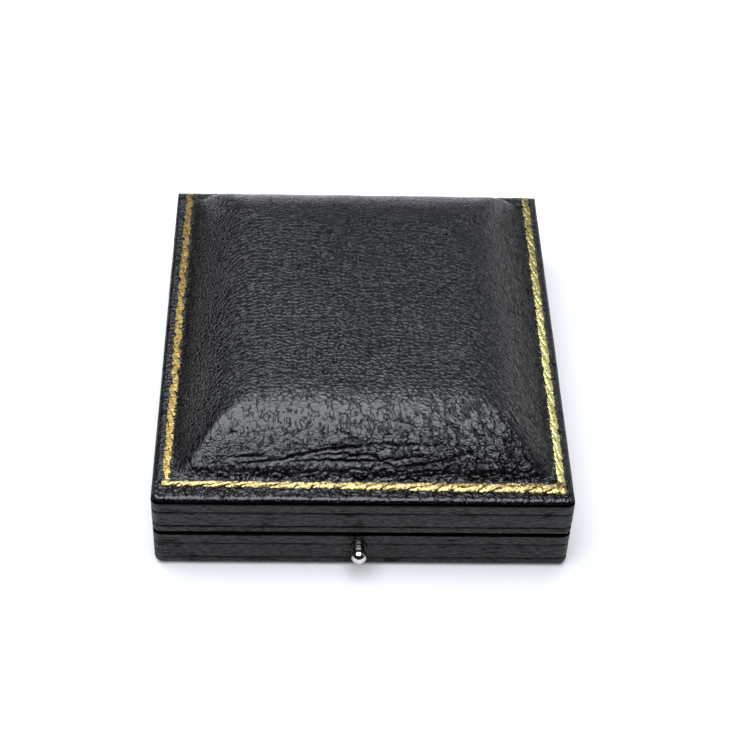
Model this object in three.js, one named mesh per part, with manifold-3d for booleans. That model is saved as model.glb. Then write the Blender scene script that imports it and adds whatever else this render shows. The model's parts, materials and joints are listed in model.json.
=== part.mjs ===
// Pocket watch box: a leather covered wooden case with a padded lid, a gold tooled line,
// brass rims, a hinge at the back and a push-button catch at the front.
// Millimetres. +X right, +Y towards the hinge, +Z up. Origin: centre of the underside.

import * as THREE from "three";
import { mergeVertices } from "three/addons/utils/BufferGeometryUtils.js";
import Module from "manifold-3d";

const wasm = await Module();
wasm.setup();

// The box is sized round the recess for the watch, and its seam round the push button
const recessRadius = 25.7;
const recessSideMargin = 16.3;
const recessFrontMargin = 14.3;
const recessBackMargin = 13;
const bayHalfWidth = 8.5;
const bayReach = 19.3;
const buttonHeight = 6;
const wallOverButton = 0.55;
const lidSideHeight = 9.8;

// Clearances and corners
const cornerRadius = 1.8;
const innerCornerRadius = 0.3;
const foldClearance = 0.3;
const fitGap = 0.1;
const glueGap = 0.2;
const overrun = 2;

// Leather covers
const leatherThickness = 0.8;
const leatherSeamGap = 0.6;
const leatherLip = 0.3;
const lidEdgeRadius = 1.2;
const lidBackRadius = 3.7;
const baseEdgeRadius = 1.2;
const turnInWidth = 2.2;
const tooledLineDepth = 0.25;
const tooledLineHalfWidth = 0.35;
const baseTooledLineHeights = [2.5, 6.6];
const lidTooledLineHeights = [2.15, 6.1];

// Padded crown of the lid
const crownSideMargin = 0.5;
const crownEndMargin = 0.2;
const crownRise = 8.9;
const crownRun = 18;
const crownSwell = 0.4;
const crownLeatherSide = 1;
const paddingGap = 0.3;

// Gold tooled line on the ledge
const gildInset = 2;
const gildFrontInset = 3.3;
const gildWidth = 1.5;
const gildThickness = 0.12;
const gildTwist = 4.8;
const gildWaist = 0.2;

// Woodwork
const bottomCoverThickness = 0.5;
const floorThickness = 1.5;
const lidWallThickness = 3.2;
const topBoardThickness = 1.7;

// Brass rims
const rimThickness = 0.5;
const rimGap = 0.1;
const rimLipThickness = 0.5;
const rimLipHeight = 1.5;
const tongueSideMargin = 0.5;
const tongueReach = 0.7;

// Rim pins
const rimPinRadius = 0.5;
const rimPinHeadRadius = 0.9;
const rimPinHeadThickness = 0.25;
const rimPinLength = 4.2;
const rimPinInsetY = 7;

// Hinge
const hingeInset = 1.1;
const hingeBarrelRadius = 1;
const hingePinRadius = 0.5;
const hingePinClearance = 0.06;
const knuckleLength = 5;
const knuckleGap = 0.3;
const hingeEndMargin = 10.5;
const knucklesPerHinge = 3;
const rearBevelDegrees = 52;

// Push button and catch
const buttonX = -0.7;
const buttonRadius = 1.6;
const buttonReach = 4.2;
const buttonCollarWidth = 0.7;
const buttonCollarThickness = 0.8;
const buttonTipRadius = 1;
const rivetHeadRadius = 1.5;
const rivetHeadHeight = 0.4;
const bushLength = 1.6;
const bushWall = 0.6;
const springLength = 36;
const springHeight = 4;
const springThickness = 0.4;
const springScrewInset = 3;
const springScrewRadius = 0.8;
const springScrewHeadRadius = 1.4;
const springScrewHeadHeight = 0.6;
const springScrewLength = 3;
const hookWidth = 10;
const hookSideRoom = 1.5;
const hookThickness = 0.6;
const hookDrop = 2.2;
const noseHold = 0.9;
const noseTipHeight = 0.3;
const noseSlopeHeight = 0.85;
const noseClearance = 0.3;
const noseRoom = 0.5;

// Nest for the watch
const nestDrop = 0.7;
const velvetThickness = 0.8;
const recessPadThickness = 1;

// Lining of the lid
const liningCardThickness = 0.8;
const sideLiningThickness = 0.6;
const sideLiningClearance = 0.35;
const satinEdgeThickness = 0.7;
const satinCrown = 0.8;
const satinRun = 14;

// Fineness of round shapes
const cornerSteps = 4;
const roundSteps = 3;
const roundSides = 20;
const backRoundSides = 32;
const pinSides = 12;
const crownColumns = 16;
const crownRows = 18;
const paddingColumns = 10;
const paddingRows = 12;
const satinColumns = 8;
const satinRows = 9;
const arcSteps = 14;
const twistSteps = 3;

// Places worked out from the sizes
const halfWidth = recessRadius + recessSideMargin;
const halfDepth = (recessFrontMargin + 2 * recessRadius + bayReach + recessBackMargin) / 2;
const buttonCollarRadius = buttonRadius + buttonCollarWidth;
const collarRoomRadius = buttonCollarRadius + foldClearance;
const seamHeight = buttonHeight + collarRoomRadius + wallOverButton + rimThickness + rimGap / 2;
const baseWallThickness = lidWallThickness + foldClearance + rimLipThickness;
const ledgeZ = seamHeight + lidSideHeight;
const baseLeatherTopZ = seamHeight - leatherSeamGap / 2;
const lidLeatherBottomZ = seamHeight + leatherSeamGap / 2;
const baseRimTopZ = seamHeight - rimGap / 2;
const baseRimBottomZ = baseRimTopZ - rimThickness;
const lidRimBottomZ = seamHeight + rimGap / 2;
const lidRimTopZ = lidRimBottomZ + rimThickness;
const floorBottomZ = bottomCoverThickness;
const floorTopZ = floorBottomZ + floorThickness;
const boardTopZ = ledgeZ - leatherThickness;
const boardBottomZ = boardTopZ - topBoardThickness;
const cardBottomZ = boardBottomZ - liningCardThickness;
const rimLipTopZ = baseRimTopZ + rimLipHeight;
const baseWallInset = leatherThickness + baseWallThickness;
const lidWallInset = leatherThickness + lidWallThickness;
const baseWallInnerY = -halfDepth + baseWallInset;
const lidWallInnerY = -halfDepth + lidWallInset;
const hingeY = halfDepth - hingeInset;
const hingeRoomRadius = hingeBarrelRadius + foldClearance;
const hingeHalfLength = (knucklesPerHinge / 2) * knuckleLength;
const buttonTipY = -halfDepth - buttonReach;
const buttonShoulderY = -halfDepth + leatherThickness + bushLength + foldClearance;
const collarBackY = buttonShoulderY + buttonCollarThickness;
const springBackY = baseWallInnerY + springThickness;
const hookBackY = springBackY + hookThickness;
const tongueEndY = lidWallInnerY + tongueReach;
const noseEndY = tongueEndY - noseHold;
const noseBottomZ = lidRimTopZ + noseClearance;
const noseTopZ = noseBottomZ + noseTipHeight + noseSlopeHeight;
const buttonStroke = noseHold + noseClearance;
const rivetSeatY = hookBackY + fitGap / 2;
const hookSlotEndY = rivetSeatY + rivetHeadHeight + buttonStroke + foldClearance;
const hookSlotHalfWidth = hookWidth / 2 + hookSideRoom;
const catchRoomEndY = springBackY + springScrewHeadHeight + 2 * foldClearance;
const catchRoomHalfWidth = springLength / 2 + 2 * foldClearance;
const crownSideInset = gildInset + gildWidth + crownSideMargin;
const crownEndInset = gildFrontInset + gildWidth + crownEndMargin;
const rimPinInsetX = (leatherThickness + lidWallInset) / 2;
const nestInset = baseWallInset + foldClearance;
const nestTopZ = seamHeight - nestDrop;
const velvetBottomZ = nestTopZ - velvetThickness;
const recessCentreY = -halfDepth + recessFrontMargin + recessRadius;
const bayEndY = recessCentreY + recessRadius + bayReach;

// Finishes
const finishes = {
  leather: { color: 0x1b1c1f, roughness: 0.42, metalness: 0 },
  gold: { color: 0xd9b84c, roughness: 0.35, metalness: 1 },
  wood: { color: 0xb08a5a, roughness: 0.7, metalness: 0 },
  brass: { color: 0xc9a24a, roughness: 0.3, metalness: 1 },
  nickel: { color: 0xc8c6c0, roughness: 0.15, metalness: 1 },
  steel: { color: 0x8b8d90, roughness: 0.35, metalness: 1 },
  velvet: { color: 0x2a2350, roughness: 0.95, metalness: 0 },
  satin: { color: 0xe6ddc6, roughness: 0.4, metalness: 0 },
  card: { color: 0x9c917c, roughness: 0.9, metalness: 0 },
  padding: { color: 0xd1ccbd, roughness: 1, metalness: 0 },
};

// A closed geometry as a solid that can be joined and cut
function solidOf(geometry) {
  const bare = geometry.clone();
  bare.deleteAttribute("normal");
  bare.deleteAttribute("uv");
  const merged = mergeVertices(bare);
  return new wasm.Manifold(new wasm.Mesh({
    numProp: 3,
    vertProperties: new Float32Array(merged.attributes.position.array),
    triVerts: new Uint32Array(merged.index.array),
  }));
}

// A solid turned back into a geometry for a mesh
function geometryOf(solid) {
  const mesh = solid.getMesh();
  const geometry = new THREE.BufferGeometry();
  geometry.setAttribute("position", new THREE.BufferAttribute(new Float32Array(mesh.vertProperties), 3));
  geometry.setIndex(new THREE.BufferAttribute(new Uint32Array(mesh.triVerts), 1));
  geometry.computeVertexNormals();
  return geometry;
}

// A block between two corners
function block(lowX, highX, lowY, highY, lowZ, highZ) {
  const geometry = new THREE.BoxGeometry(highX - lowX, highY - lowY, highZ - lowZ);
  geometry.translate((lowX + highX) / 2, (lowY + highY) / 2, (lowZ + highZ) / 2);
  return solidOf(geometry);
}

// A block set in from the four sides of the box
function insetBlock(inset, lowZ, highZ) {
  return block(inset - halfWidth, halfWidth - inset, inset - halfDepth, halfDepth - inset, lowZ, highZ);
}

// A rectangular frame between two insets
function insetFrame(outerInset, innerInset, lowZ, highZ) {
  return insetBlock(outerInset, lowZ, highZ)
    .subtract(insetBlock(innerInset, lowZ - overrun, highZ + overrun));
}

// A rod along X, centred on a point
function rodAlongX(radius, lowX, highX, y, z, sides) {
  const geometry = new THREE.CylinderGeometry(radius, radius, highX - lowX, sides);
  geometry.rotateZ(Math.PI / 2);
  geometry.translate((lowX + highX) / 2, y, z);
  return solidOf(geometry);
}

// A rod along Y, centred on a point
function rodAlongY(radius, lowY, highY, x, z, sides) {
  const geometry = new THREE.CylinderGeometry(radius, radius, highY - lowY, sides);
  geometry.translate(x, (lowY + highY) / 2, z);
  return solidOf(geometry);
}

// An upright rod, centred on a point
function rodAlongZ(radius, lowZ, highZ, x, y, sides) {
  const geometry = new THREE.CylinderGeometry(radius, radius, highZ - lowZ, sides);
  geometry.rotateX(Math.PI / 2);
  geometry.translate(x, y, (lowZ + highZ) / 2);
  return solidOf(geometry);
}

// A plan shape raised from one height to another
function raised(shape, lowZ, highZ) {
  const geometry = new THREE.ExtrudeGeometry(shape, {
    depth: highZ - lowZ,
    bevelEnabled: false,
    curveSegments: arcSteps,
  });
  geometry.translate(0, 0, lowZ);
  return solidOf(geometry);
}

// A side profile of (y, z) points carried along X
function carriedAlongX(points, lowX, highX) {
  const shape = new THREE.Shape(points.map(([y, z]) => new THREE.Vector2(y, z)));
  const geometry = new THREE.ExtrudeGeometry(shape, { depth: highX - lowX, bevelEnabled: false });
  geometry.applyMatrix4(new THREE.Matrix4().makeBasis(
    new THREE.Vector3(0, 1, 0),
    new THREE.Vector3(0, 0, 1),
    new THREE.Vector3(1, 0, 0),
  ));
  geometry.translate(lowX, 0, 0);
  return solidOf(geometry);
}

// Points round a rectangle with rounded corners, set in from the sides of the box
function ringAround(inset) {
  const radius = Math.max(cornerRadius - inset, innerCornerRadius);
  const reachX = halfWidth - inset - radius;
  const reachY = halfDepth - inset - radius;
  const corners = [[1, 1], [-1, 1], [-1, -1], [1, -1]];
  return corners.flatMap(([signX, signY], corner) =>
    Array.from({ length: cornerSteps + 1 }, (_, step) => {
      const angle = (corner + step / cornerSteps) * Math.PI / 2;
      return [signX * reachX + radius * Math.cos(angle), signY * reachY + radius * Math.sin(angle)];
    }));
}

// A solid whose sides follow a profile of (inset, height) points, from the bottom up
function coverBody(profile) {
  const rings = profile.map(([inset, height]) => ringAround(inset).map(([x, y]) => [x, y, height]));
  const count = rings[0].length;
  const positions = rings.flat(2);
  const indices = [];
  for (let level = 0; level < rings.length - 1; level += 1) {
    for (let place = 0; place < count; place += 1) {
      const next = (place + 1) % count;
      const low = level * count;
      const high = low + count;
      indices.push(low + place, low + next, high + next);
      indices.push(low + place, high + next, high + place);
    }
  }
  const top = (rings.length - 1) * count;
  for (let place = 1; place < count - 1; place += 1) {
    indices.push(0, place + 1, place);
    indices.push(top, top + place, top + place + 1);
  }
  const geometry = new THREE.BufferGeometry();
  geometry.setAttribute("position", new THREE.Float32BufferAttribute(positions, 3));
  geometry.setIndex(indices);
  return solidOf(geometry);
}

// A quarter round in (inset, height), from the side up to the top, or from the bottom up to the side
function roundedEdge(radius, edgeZ, upwards) {
  return Array.from({ length: roundSteps + 1 }, (_, step) => {
    const angle = (step / roundSteps) * Math.PI / 2;
    return upwards
      ? [radius * (1 - Math.cos(angle)), edgeZ - radius * (1 - Math.sin(angle))]
      : [radius * (1 - Math.sin(angle)), edgeZ + radius * (1 - Math.cos(angle))];
  });
}

// A shallow groove pressed into the side at one height
function tooledLine(height) {
  return [
    [0, height - tooledLineHalfWidth],
    [tooledLineDepth, height],
    [0, height + tooledLineHalfWidth],
  ];
}

// How far a padded face has risen, from 0 at its edge to 1 once it is a run's length in
function padRise(distance, run) {
  const share = Math.min(Math.max(distance / run, 0), 1);
  return Math.sqrt(1 - (1 - share) ** 2);
}

// A pad with a flat underside at baseZ: its top starts thickness up and swells by rise
function pad(reachX, reachY, baseZ, thickness, rise, swell, run, columns, rows) {
  const geometry = new THREE.BoxGeometry(2, 2, 2, columns, rows, 1);
  const place = geometry.attributes.position;
  for (let index = 0; index < place.count; index += 1) {
    const x = reachX * Math.sin(place.getX(index) * Math.PI / 2);
    const y = reachY * Math.sin(place.getY(index) * Math.PI / 2);
    const risen = padRise(reachX - Math.abs(x), run) * padRise(reachY - Math.abs(y), run);
    const swollen = (1 - (x / reachX) ** 2) * (1 - (y / reachY) ** 2);
    const top = baseZ + thickness + rise * risen + swell * swollen;
    place.setXYZ(index, x, y, place.getZ(index) > 0 ? top : baseZ);
  }
  return solidOf(geometry);
}

// The plan of the recess: a round bay for the watch and a narrow one for its pendant and bow
function recessShape(growth) {
  const radius = recessRadius + growth;
  const half = bayHalfWidth + growth;
  const joinAngle = Math.acos(half / radius);
  const shape = new THREE.Shape();
  shape.absarc(0, recessCentreY, radius, Math.PI - joinAngle, 2 * Math.PI + joinAngle, false);
  shape.absarc(0, bayEndY - bayHalfWidth, half, 0, Math.PI, false);
  shape.closePath();
  return shape;
}

// The wedge taken off behind the hinge axis, so that the lid can swing back
function rearWedge() {
  const reach = hingeInset + overrun;
  const drop = reach * Math.tan(rearBevelDegrees * Math.PI / 180);
  return carriedAlongX(
    [[hingeY, seamHeight], [hingeY + reach, seamHeight - drop], [hingeY + reach, seamHeight + drop]],
    -halfWidth - overrun,
    halfWidth + overrun,
  );
}

// Centres of the two hinges along X
const hingeCentreX = halfWidth - hingeEndMargin - hingeHalfLength;
const hingeCentres = [-hingeCentreX, hingeCentreX];

// Room round a whole hinge, cut from the wood and the leather
function hingeRoom() {
  const reach = hingeHalfLength + foldClearance;
  return hingeCentres
    .map((centre) => rodAlongX(
      hingeRoomRadius, centre - reach, centre + reach, hingeY, seamHeight, roundSides))
    .reduce((first, second) => first.add(second));
}

// The stretches of the outer knuckles of one hinge, and of the middle one
function outerKnuckles(centre) {
  const start = knuckleLength / 2 + knuckleGap / 2;
  return [[centre - hingeHalfLength, centre - start], [centre + start, centre + hingeHalfLength]];
}

function middleKnuckle(centre) {
  const reach = knuckleLength / 2 - knuckleGap / 2;
  return [[centre - reach, centre + reach]];
}

// Rolls knuckles onto a rim, makes room for the other rim's knuckles and bores them for the pins
function withKnuckles(rim, own, others) {
  let hinged = rim.subtract(rearWedge());
  for (const centre of hingeCentres) {
    for (const [low, high] of others(centre)) {
      hinged = hinged.subtract(rodAlongX(
        hingeRoomRadius, low - knuckleGap, high + knuckleGap, hingeY, seamHeight, roundSides));
    }
    for (const [low, high] of own(centre)) {
      hinged = hinged.add(rodAlongX(hingeBarrelRadius, low, high, hingeY, seamHeight, roundSides));
    }
    const reach = hingeHalfLength + overrun;
    hinged = hinged.subtract(rodAlongX(
      hingePinRadius + hingePinClearance, centre - reach, centre + reach, hingeY, seamHeight, pinSides));
  }
  return hinged;
}

// Places of the four pins of a rim, with the words that name them
const rimPinPlaces = [
  ["front_left", -1, -1],
  ["front_right", 1, -1],
  ["back_left", -1, 1],
  ["back_right", 1, 1],
].map(([words, signX, signY]) => ({
  words,
  x: signX * (halfWidth - rimPinInsetX),
  y: signY * (halfDepth - rimPinInsetY),
}));

// Holes for the pins of a rim: a shank hole into the wood and a seat for the head in the rim.
// The head is level with the rim's face at faceZ, and into is the way the pin is driven.
function rimPinHoles(faceZ, into) {
  return rimPinPlaces
    .map(({ x, y }) => {
      const shankEnd = faceZ + into * (rimPinLength + foldClearance);
      const seatEnd = faceZ + into * (rimPinHeadThickness + fitGap);
      const outside = faceZ - into * overrun;
      const shank = rodAlongZ(
        rimPinRadius + fitGap, Math.min(shankEnd, outside), Math.max(shankEnd, outside), x, y, pinSides);
      const seat = rodAlongZ(
        rimPinHeadRadius + fitGap, Math.min(seatEnd, outside), Math.max(seatEnd, outside), x, y, pinSides);
      return shank.add(seat);
    })
    .reduce((first, second) => first.add(second));
}

// A rim pin with its head at the origin and its point down
function rimPin() {
  const profile = [
    [0, 0],
    [rimPinHeadRadius, 0],
    [rimPinHeadRadius, -rimPinHeadThickness],
    [rimPinRadius, -rimPinHeadThickness],
    [rimPinRadius, rimPinRadius - rimPinLength],
    [0, -rimPinLength],
  ];
  return new THREE.LatheGeometry(profile.reverse().map(([r, z]) => new THREE.Vector2(r, z)), pinSides)
    .rotateX(Math.PI / 2);
}

// One named sub-part
function piece(name, shape, finish) {
  const geometry = shape instanceof THREE.BufferGeometry ? shape : geometryOf(shape);
  const mesh = new THREE.Mesh(geometry, new THREE.MeshStandardMaterial(finishes[finish]));
  mesh.name = name;
  return mesh;
}

// Leather cover of the base, turned in under the floor
function baseCover() {
  const outside = coverBody([
    ...roundedEdge(baseEdgeRadius, 0, false),
    ...baseTooledLineHeights.flatMap(tooledLine),
    ...roundedEdge(leatherLip, baseLeatherTopZ, true),
  ]);
  return outside
    .subtract(insetBlock(leatherThickness, floorBottomZ, baseLeatherTopZ + overrun))
    .subtract(insetBlock(leatherThickness + turnInWidth, -overrun, floorBottomZ + overrun))
    .subtract(rearWedge())
    .subtract(hingeRoom())
    .subtract(rodAlongY(
      buttonRadius + foldClearance, -halfDepth - overrun, -halfDepth + leatherThickness + overrun,
      buttonX, buttonHeight, roundSides));
}

// The four walls of the base stand on its floor board
function baseWall(lowX, highX, lowY, highY) {
  return block(lowX, highX, lowY, highY, floorTopZ, baseRimBottomZ)
    .subtract(rimPinHoles(baseRimTopZ, -1));
}

function baseFrontWall() {
  const leatherBackY = -halfDepth + leatherThickness;
  const bushEndY = leatherBackY + bushLength;
  const bushBore = rodAlongY(
    buttonRadius + fitGap + bushWall + fitGap, leatherBackY - overrun, bushEndY,
    buttonX, buttonHeight, roundSides);
  const collarRoom = rodAlongY(
    collarRoomRadius, bushEndY, baseWallInnerY + overrun,
    buttonX, buttonHeight, roundSides);
  let wall = baseWall(
    leatherThickness - halfWidth, halfWidth - leatherThickness, leatherBackY, baseWallInnerY)
    .subtract(bushBore)
    .subtract(collarRoom);
  for (const x of springScrewPlaces()) {
    wall = wall.subtract(rodAlongY(
      springScrewRadius + fitGap, baseWallInnerY - springScrewLength - foldClearance,
      baseWallInnerY + overrun, x, buttonHeight, pinSides));
  }
  return wall;
}

function baseBackWall() {
  return baseWall(
    leatherThickness - halfWidth, halfWidth - leatherThickness,
    halfDepth - baseWallInset, halfDepth - leatherThickness)
    .subtract(rearWedge())
    .subtract(hingeRoom());
}

// A side wall of the base stands between the front and back walls: side is -1 left, 1 right
function baseSideWall(side) {
  const outer = side * (halfWidth - leatherThickness);
  const inner = side * (halfWidth - baseWallInset);
  return baseWall(Math.min(outer, inner), Math.max(outer, inner), baseWallInnerY, -baseWallInnerY);
}

// Brass rim of the base, with a lip that stands up inside the lid
function baseRim() {
  const lip = insetFrame(baseWallInset - rimLipThickness, baseWallInset, baseRimBottomZ, rimLipTopZ)
    .subtract(block(
      buttonX - hookSlotHalfWidth, buttonX + hookSlotHalfWidth,
      -halfDepth, baseWallInnerY + overrun, baseRimTopZ, rimLipTopZ + overrun));
  const rim = insetFrame(leatherThickness, baseWallInset, baseRimBottomZ, baseRimTopZ).add(lip);
  return withKnuckles(rim, outerKnuckles, middleKnuckle).subtract(rimPinHoles(baseRimTopZ, -1));
}

// Block under the velvet, hollowed for the watch, with room in front for the catch
function nestCore() {
  return insetBlock(nestInset, floorTopZ, velvetBottomZ - glueGap)
    .subtract(raised(recessShape(velvetThickness + glueGap), floorTopZ - overrun, nestTopZ))
    .subtract(catchRoom())
    .subtract(hookSlot());
}

// Room for the leaf spring and its screws
function catchRoom() {
  return block(
    buttonX - catchRoomHalfWidth, buttonX + catchRoomHalfWidth,
    -halfDepth, catchRoomEndY,
    floorTopZ - overrun, velvetBottomZ);
}

// Slot for the hook and its stroke
function hookSlot() {
  return block(
    buttonX - hookSlotHalfWidth, buttonX + hookSlotHalfWidth,
    -halfDepth, hookSlotEndY,
    floorTopZ - overrun, nestTopZ + overrun);
}

// Velvet over the nest and down the side of the recess
function nestVelvet() {
  return insetBlock(nestInset, velvetBottomZ, nestTopZ)
    .subtract(hookSlot())
    .add(raised(recessShape(velvetThickness), floorTopZ + glueGap, velvetBottomZ))
    .subtract(raised(recessShape(0), floorTopZ - overrun, nestTopZ + overrun));
}

function recessPad() {
  return raised(recessShape(-glueGap), floorTopZ, floorTopZ + recessPadThickness);
}

// Bush that guides the button through the front wall
function buttonBush() {
  const start = -halfDepth + leatherThickness;
  const end = start + bushLength;
  const bore = buttonRadius + fitGap;
  return rodAlongY(bore + bushWall, start, end, buttonX, buttonHeight, roundSides)
    .subtract(rodAlongY(bore, start - overrun, end + overrun, buttonX, buttonHeight, roundSides));
}

// Button with a round end, a collar that keeps it in, and a tip riveted over behind the hook
function pushButton() {
  const ballY = buttonTipY + buttonRadius;
  const round = Array.from({ length: 2 * roundSteps + 1 }, (_, step) => {
    const angle = (step / (2 * roundSteps)) * Math.PI / 2;
    return [buttonRadius * Math.sin(angle), ballY - buttonRadius * Math.cos(angle)];
  });
  const profile = [
    ...round,
    [buttonRadius, buttonShoulderY],
    [buttonCollarRadius, buttonShoulderY],
    [buttonCollarRadius, collarBackY],
    [buttonTipRadius, collarBackY],
    [buttonTipRadius, rivetSeatY],
    [rivetHeadRadius, rivetSeatY],
    [rivetHeadRadius / 2, rivetSeatY + rivetHeadHeight],
    [0, rivetSeatY + rivetHeadHeight],
  ];
  const geometry = new THREE.LatheGeometry(profile.map(([r, y]) => new THREE.Vector2(r, y)), roundSides);
  geometry.translate(buttonX, 0, buttonHeight);
  return geometry;
}

// Hook: an upright plate whose nose reaches forward over the tongue of the lid's rim
function catchHook() {
  return carriedAlongX(
    [
      [springBackY, buttonHeight - hookDrop],
      [hookBackY, buttonHeight - hookDrop],
      [hookBackY, noseTopZ],
      [springBackY, noseTopZ],
      [noseEndY, noseBottomZ + noseTipHeight],
      [noseEndY, noseBottomZ],
      [springBackY, noseBottomZ],
    ],
    buttonX - hookWidth / 2,
    buttonX + hookWidth / 2,
  ).subtract(rodAlongY(
    buttonTipRadius + fitGap, springBackY - overrun, hookBackY + overrun, buttonX, buttonHeight, roundSides));
}

// Where the two screws of the leaf spring stand along X
function springScrewPlaces() {
  const reach = springLength / 2 - springScrewInset;
  return [buttonX - reach, buttonX + reach];
}

// Flat leaf spring on the inside of the front wall, pushed back in the middle by the button
function catchSpring() {
  let leaf = block(
    buttonX - springLength / 2, buttonX + springLength / 2, baseWallInnerY, springBackY,
    buttonHeight - springHeight / 2, buttonHeight + springHeight / 2)
    .subtract(rodAlongY(
      buttonTipRadius + foldClearance, baseWallInnerY - overrun, springBackY + overrun,
      buttonX, buttonHeight, roundSides));
  for (const x of springScrewPlaces()) {
    leaf = leaf.subtract(rodAlongY(
      springScrewRadius + fitGap, baseWallInnerY - overrun, springBackY + overrun,
      x, buttonHeight, pinSides));
  }
  return leaf;
}

// Round-headed screw along Y, with its head's seat at the origin
function springScrew() {
  const profile = [
    [0, -springScrewLength - springThickness],
    [springScrewRadius, springScrewRadius - springScrewLength - springThickness],
    [springScrewRadius, 0],
    [springScrewHeadRadius, 0],
    [springScrewHeadRadius / 2, springScrewHeadHeight],
    [0, springScrewHeadHeight],
  ];
  return new THREE.LatheGeometry(profile.map(([r, y]) => new THREE.Vector2(r, y)), pinSides);
}

// What is taken off the lid's upper back edge to round it, down to a depth under the leather's face
function backEdgeWaste(depth) {
  const centreY = halfDepth - lidBackRadius;
  const centreZ = ledgeZ - lidBackRadius;
  const reach = halfWidth + overrun;
  return block(-reach, reach, centreY, halfDepth + overrun, centreZ, ledgeZ + overrun)
    .subtract(rodAlongX(
      lidBackRadius - depth, -reach - overrun, reach + overrun, centreY, centreZ, backRoundSides));
}

// Outer form of the lid without its crown
function lidBody() {
  return coverBody([
    ...roundedEdge(leatherLip, lidLeatherBottomZ, false),
    ...lidTooledLineHeights.flatMap((height) => tooledLine(seamHeight + height)),
    ...roundedEdge(lidEdgeRadius, ledgeZ, true),
  ]).subtract(backEdgeWaste(0));
}

// A pad over the top board that starts at an inset from the ledge's crown line
function crownPad(growth, baseZ, thickness, rise, columns, rows) {
  return pad(
    halfWidth - crownSideInset - growth, halfDepth - crownEndInset - growth, baseZ, thickness,
    rise, crownSwell, crownRun, columns, rows);
}

// Leather cover of the lid, in one skin over the sides, the ledge and the padded crown
function lidCover() {
  const crown = crownPad(0, boardTopZ, leatherThickness, crownRise, crownColumns, crownRows);
  const hollow = crownPad(
    crownLeatherSide, boardBottomZ, topBoardThickness, crownRise, crownColumns, crownRows);
  const boxRoom = insetBlock(leatherThickness, lidLeatherBottomZ - overrun, boardTopZ)
    .subtract(backEdgeWaste(leatherThickness));
  return lidBody()
    .add(crown)
    .subtract(boxRoom)
    .subtract(hollow)
    .subtract(rearWedge())
    .subtract(hingeRoom());
}

// Padding under the leather of the crown
function crownPadding() {
  return crownPad(
    crownLeatherSide + paddingGap, boardTopZ, fitGap, crownRise - paddingGap - fitGap,
    paddingColumns, paddingRows);
}

// One edge of the gold line, round the four sides of the box, across inwards from its outer edge.
// It leans inwards by waist once in each twist of the rope, or outwards where waist is negative, and
// the corners stay where they are.
function ropeEdge(across, waist) {
  const reachX = halfWidth - gildInset - across;
  const frontY = gildFrontInset + across - halfDepth;
  const backY = halfDepth - gildInset - across;
  const corners = [[-reachX, frontY], [reachX, frontY], [reachX, backY], [-reachX, backY]];
  return corners.flatMap(([x, y], corner) => {
    const [nextX, nextY] = corners[(corner + 1) % corners.length];
    const length = Math.hypot(nextX - x, nextY - y);
    const twists = Math.round(length / gildTwist);
    const along = [(nextX - x) / length, (nextY - y) / length];
    return Array.from({ length: twists * twistSteps }, (_, step) => {
      const share = step / (twists * twistSteps);
      const lean = waist * Math.cos(Math.PI * twists * share) ** 2 * Math.min(step, 1);
      return new THREE.Vector2(
        x + along[0] * length * share - along[1] * lean,
        y + along[1] * length * share + along[0] * lean,
      );
    });
  });
}

// Gold tooled line: a thin band that follows the ledge and the rounded back edge, waisted like a rope
function giltLine() {
  const band = new THREE.Shape(ropeEdge(0, gildWaist));
  band.holes.push(new THREE.Path(ropeEdge(gildWidth, -gildWaist)));
  return raised(band, boardBottomZ, ledgeZ + overrun)
    .intersect(lidBody().translate(0, 0, gildThickness))
    .subtract(lidBody());
}

// Top board of the lid, rounded at the back under the leather
function lidTopBoard() {
  return insetBlock(leatherThickness, boardBottomZ, boardTopZ).subtract(backEdgeWaste(leatherThickness));
}

// The walls of the lid hang from its top board
function lidWall(lowX, highX, lowY, highY) {
  return block(lowX, highX, lowY, highY, lidRimTopZ, boardBottomZ)
    .subtract(rimPinHoles(lidRimBottomZ, 1));
}

function lidFrontWall() {
  const mortise = block(
    buttonX - hookSlotHalfWidth, buttonX + hookSlotHalfWidth,
    noseEndY - noseRoom, lidWallInnerY + overrun,
    lidRimTopZ - overrun, noseTopZ + noseRoom);
  return lidWall(
    leatherThickness - halfWidth, halfWidth - leatherThickness, leatherThickness - halfDepth, lidWallInnerY)
    .subtract(mortise);
}

function lidBackWall() {
  return lidWall(
    leatherThickness - halfWidth, halfWidth - leatherThickness,
    -lidWallInnerY, halfDepth - leatherThickness)
    .subtract(rearWedge())
    .subtract(hingeRoom())
    .subtract(backEdgeWaste(leatherThickness));
}

// A side wall of the lid stands between the front and back walls: side is -1 left, 1 right
function lidSideWall(side) {
  const outer = side * (halfWidth - leatherThickness);
  const inner = side * (halfWidth - lidWallInset);
  return lidWall(Math.min(outer, inner), Math.max(outer, inner), lidWallInnerY, -lidWallInnerY);
}

// Brass rim of the lid, with a tongue that the hook holds down
function lidRim() {
  const tongueHalfWidth = hookWidth / 2 - tongueSideMargin;
  const tongue = block(
    buttonX - tongueHalfWidth, buttonX + tongueHalfWidth,
    lidWallInnerY - lidWallThickness / 2, tongueEndY, lidRimBottomZ, lidRimTopZ);
  const rim = insetFrame(leatherThickness, lidWallInset, lidRimBottomZ, lidRimTopZ).add(tongue);
  return withKnuckles(rim, middleKnuckle, outerKnuckles).subtract(rimPinHoles(lidRimBottomZ, 1));
}

// Lining band round the inside of the lid's walls, notched for the hook
function lidSideLining() {
  return insetFrame(
    lidWallInset, lidWallInset + sideLiningThickness, rimLipTopZ + sideLiningClearance, cardBottomZ)
    .subtract(block(
      buttonX - hookSlotHalfWidth, buttonX + hookSlotHalfWidth,
      -halfDepth, baseWallInnerY + overrun,
      lidRimTopZ, noseTopZ + noseRoom));
}

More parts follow.
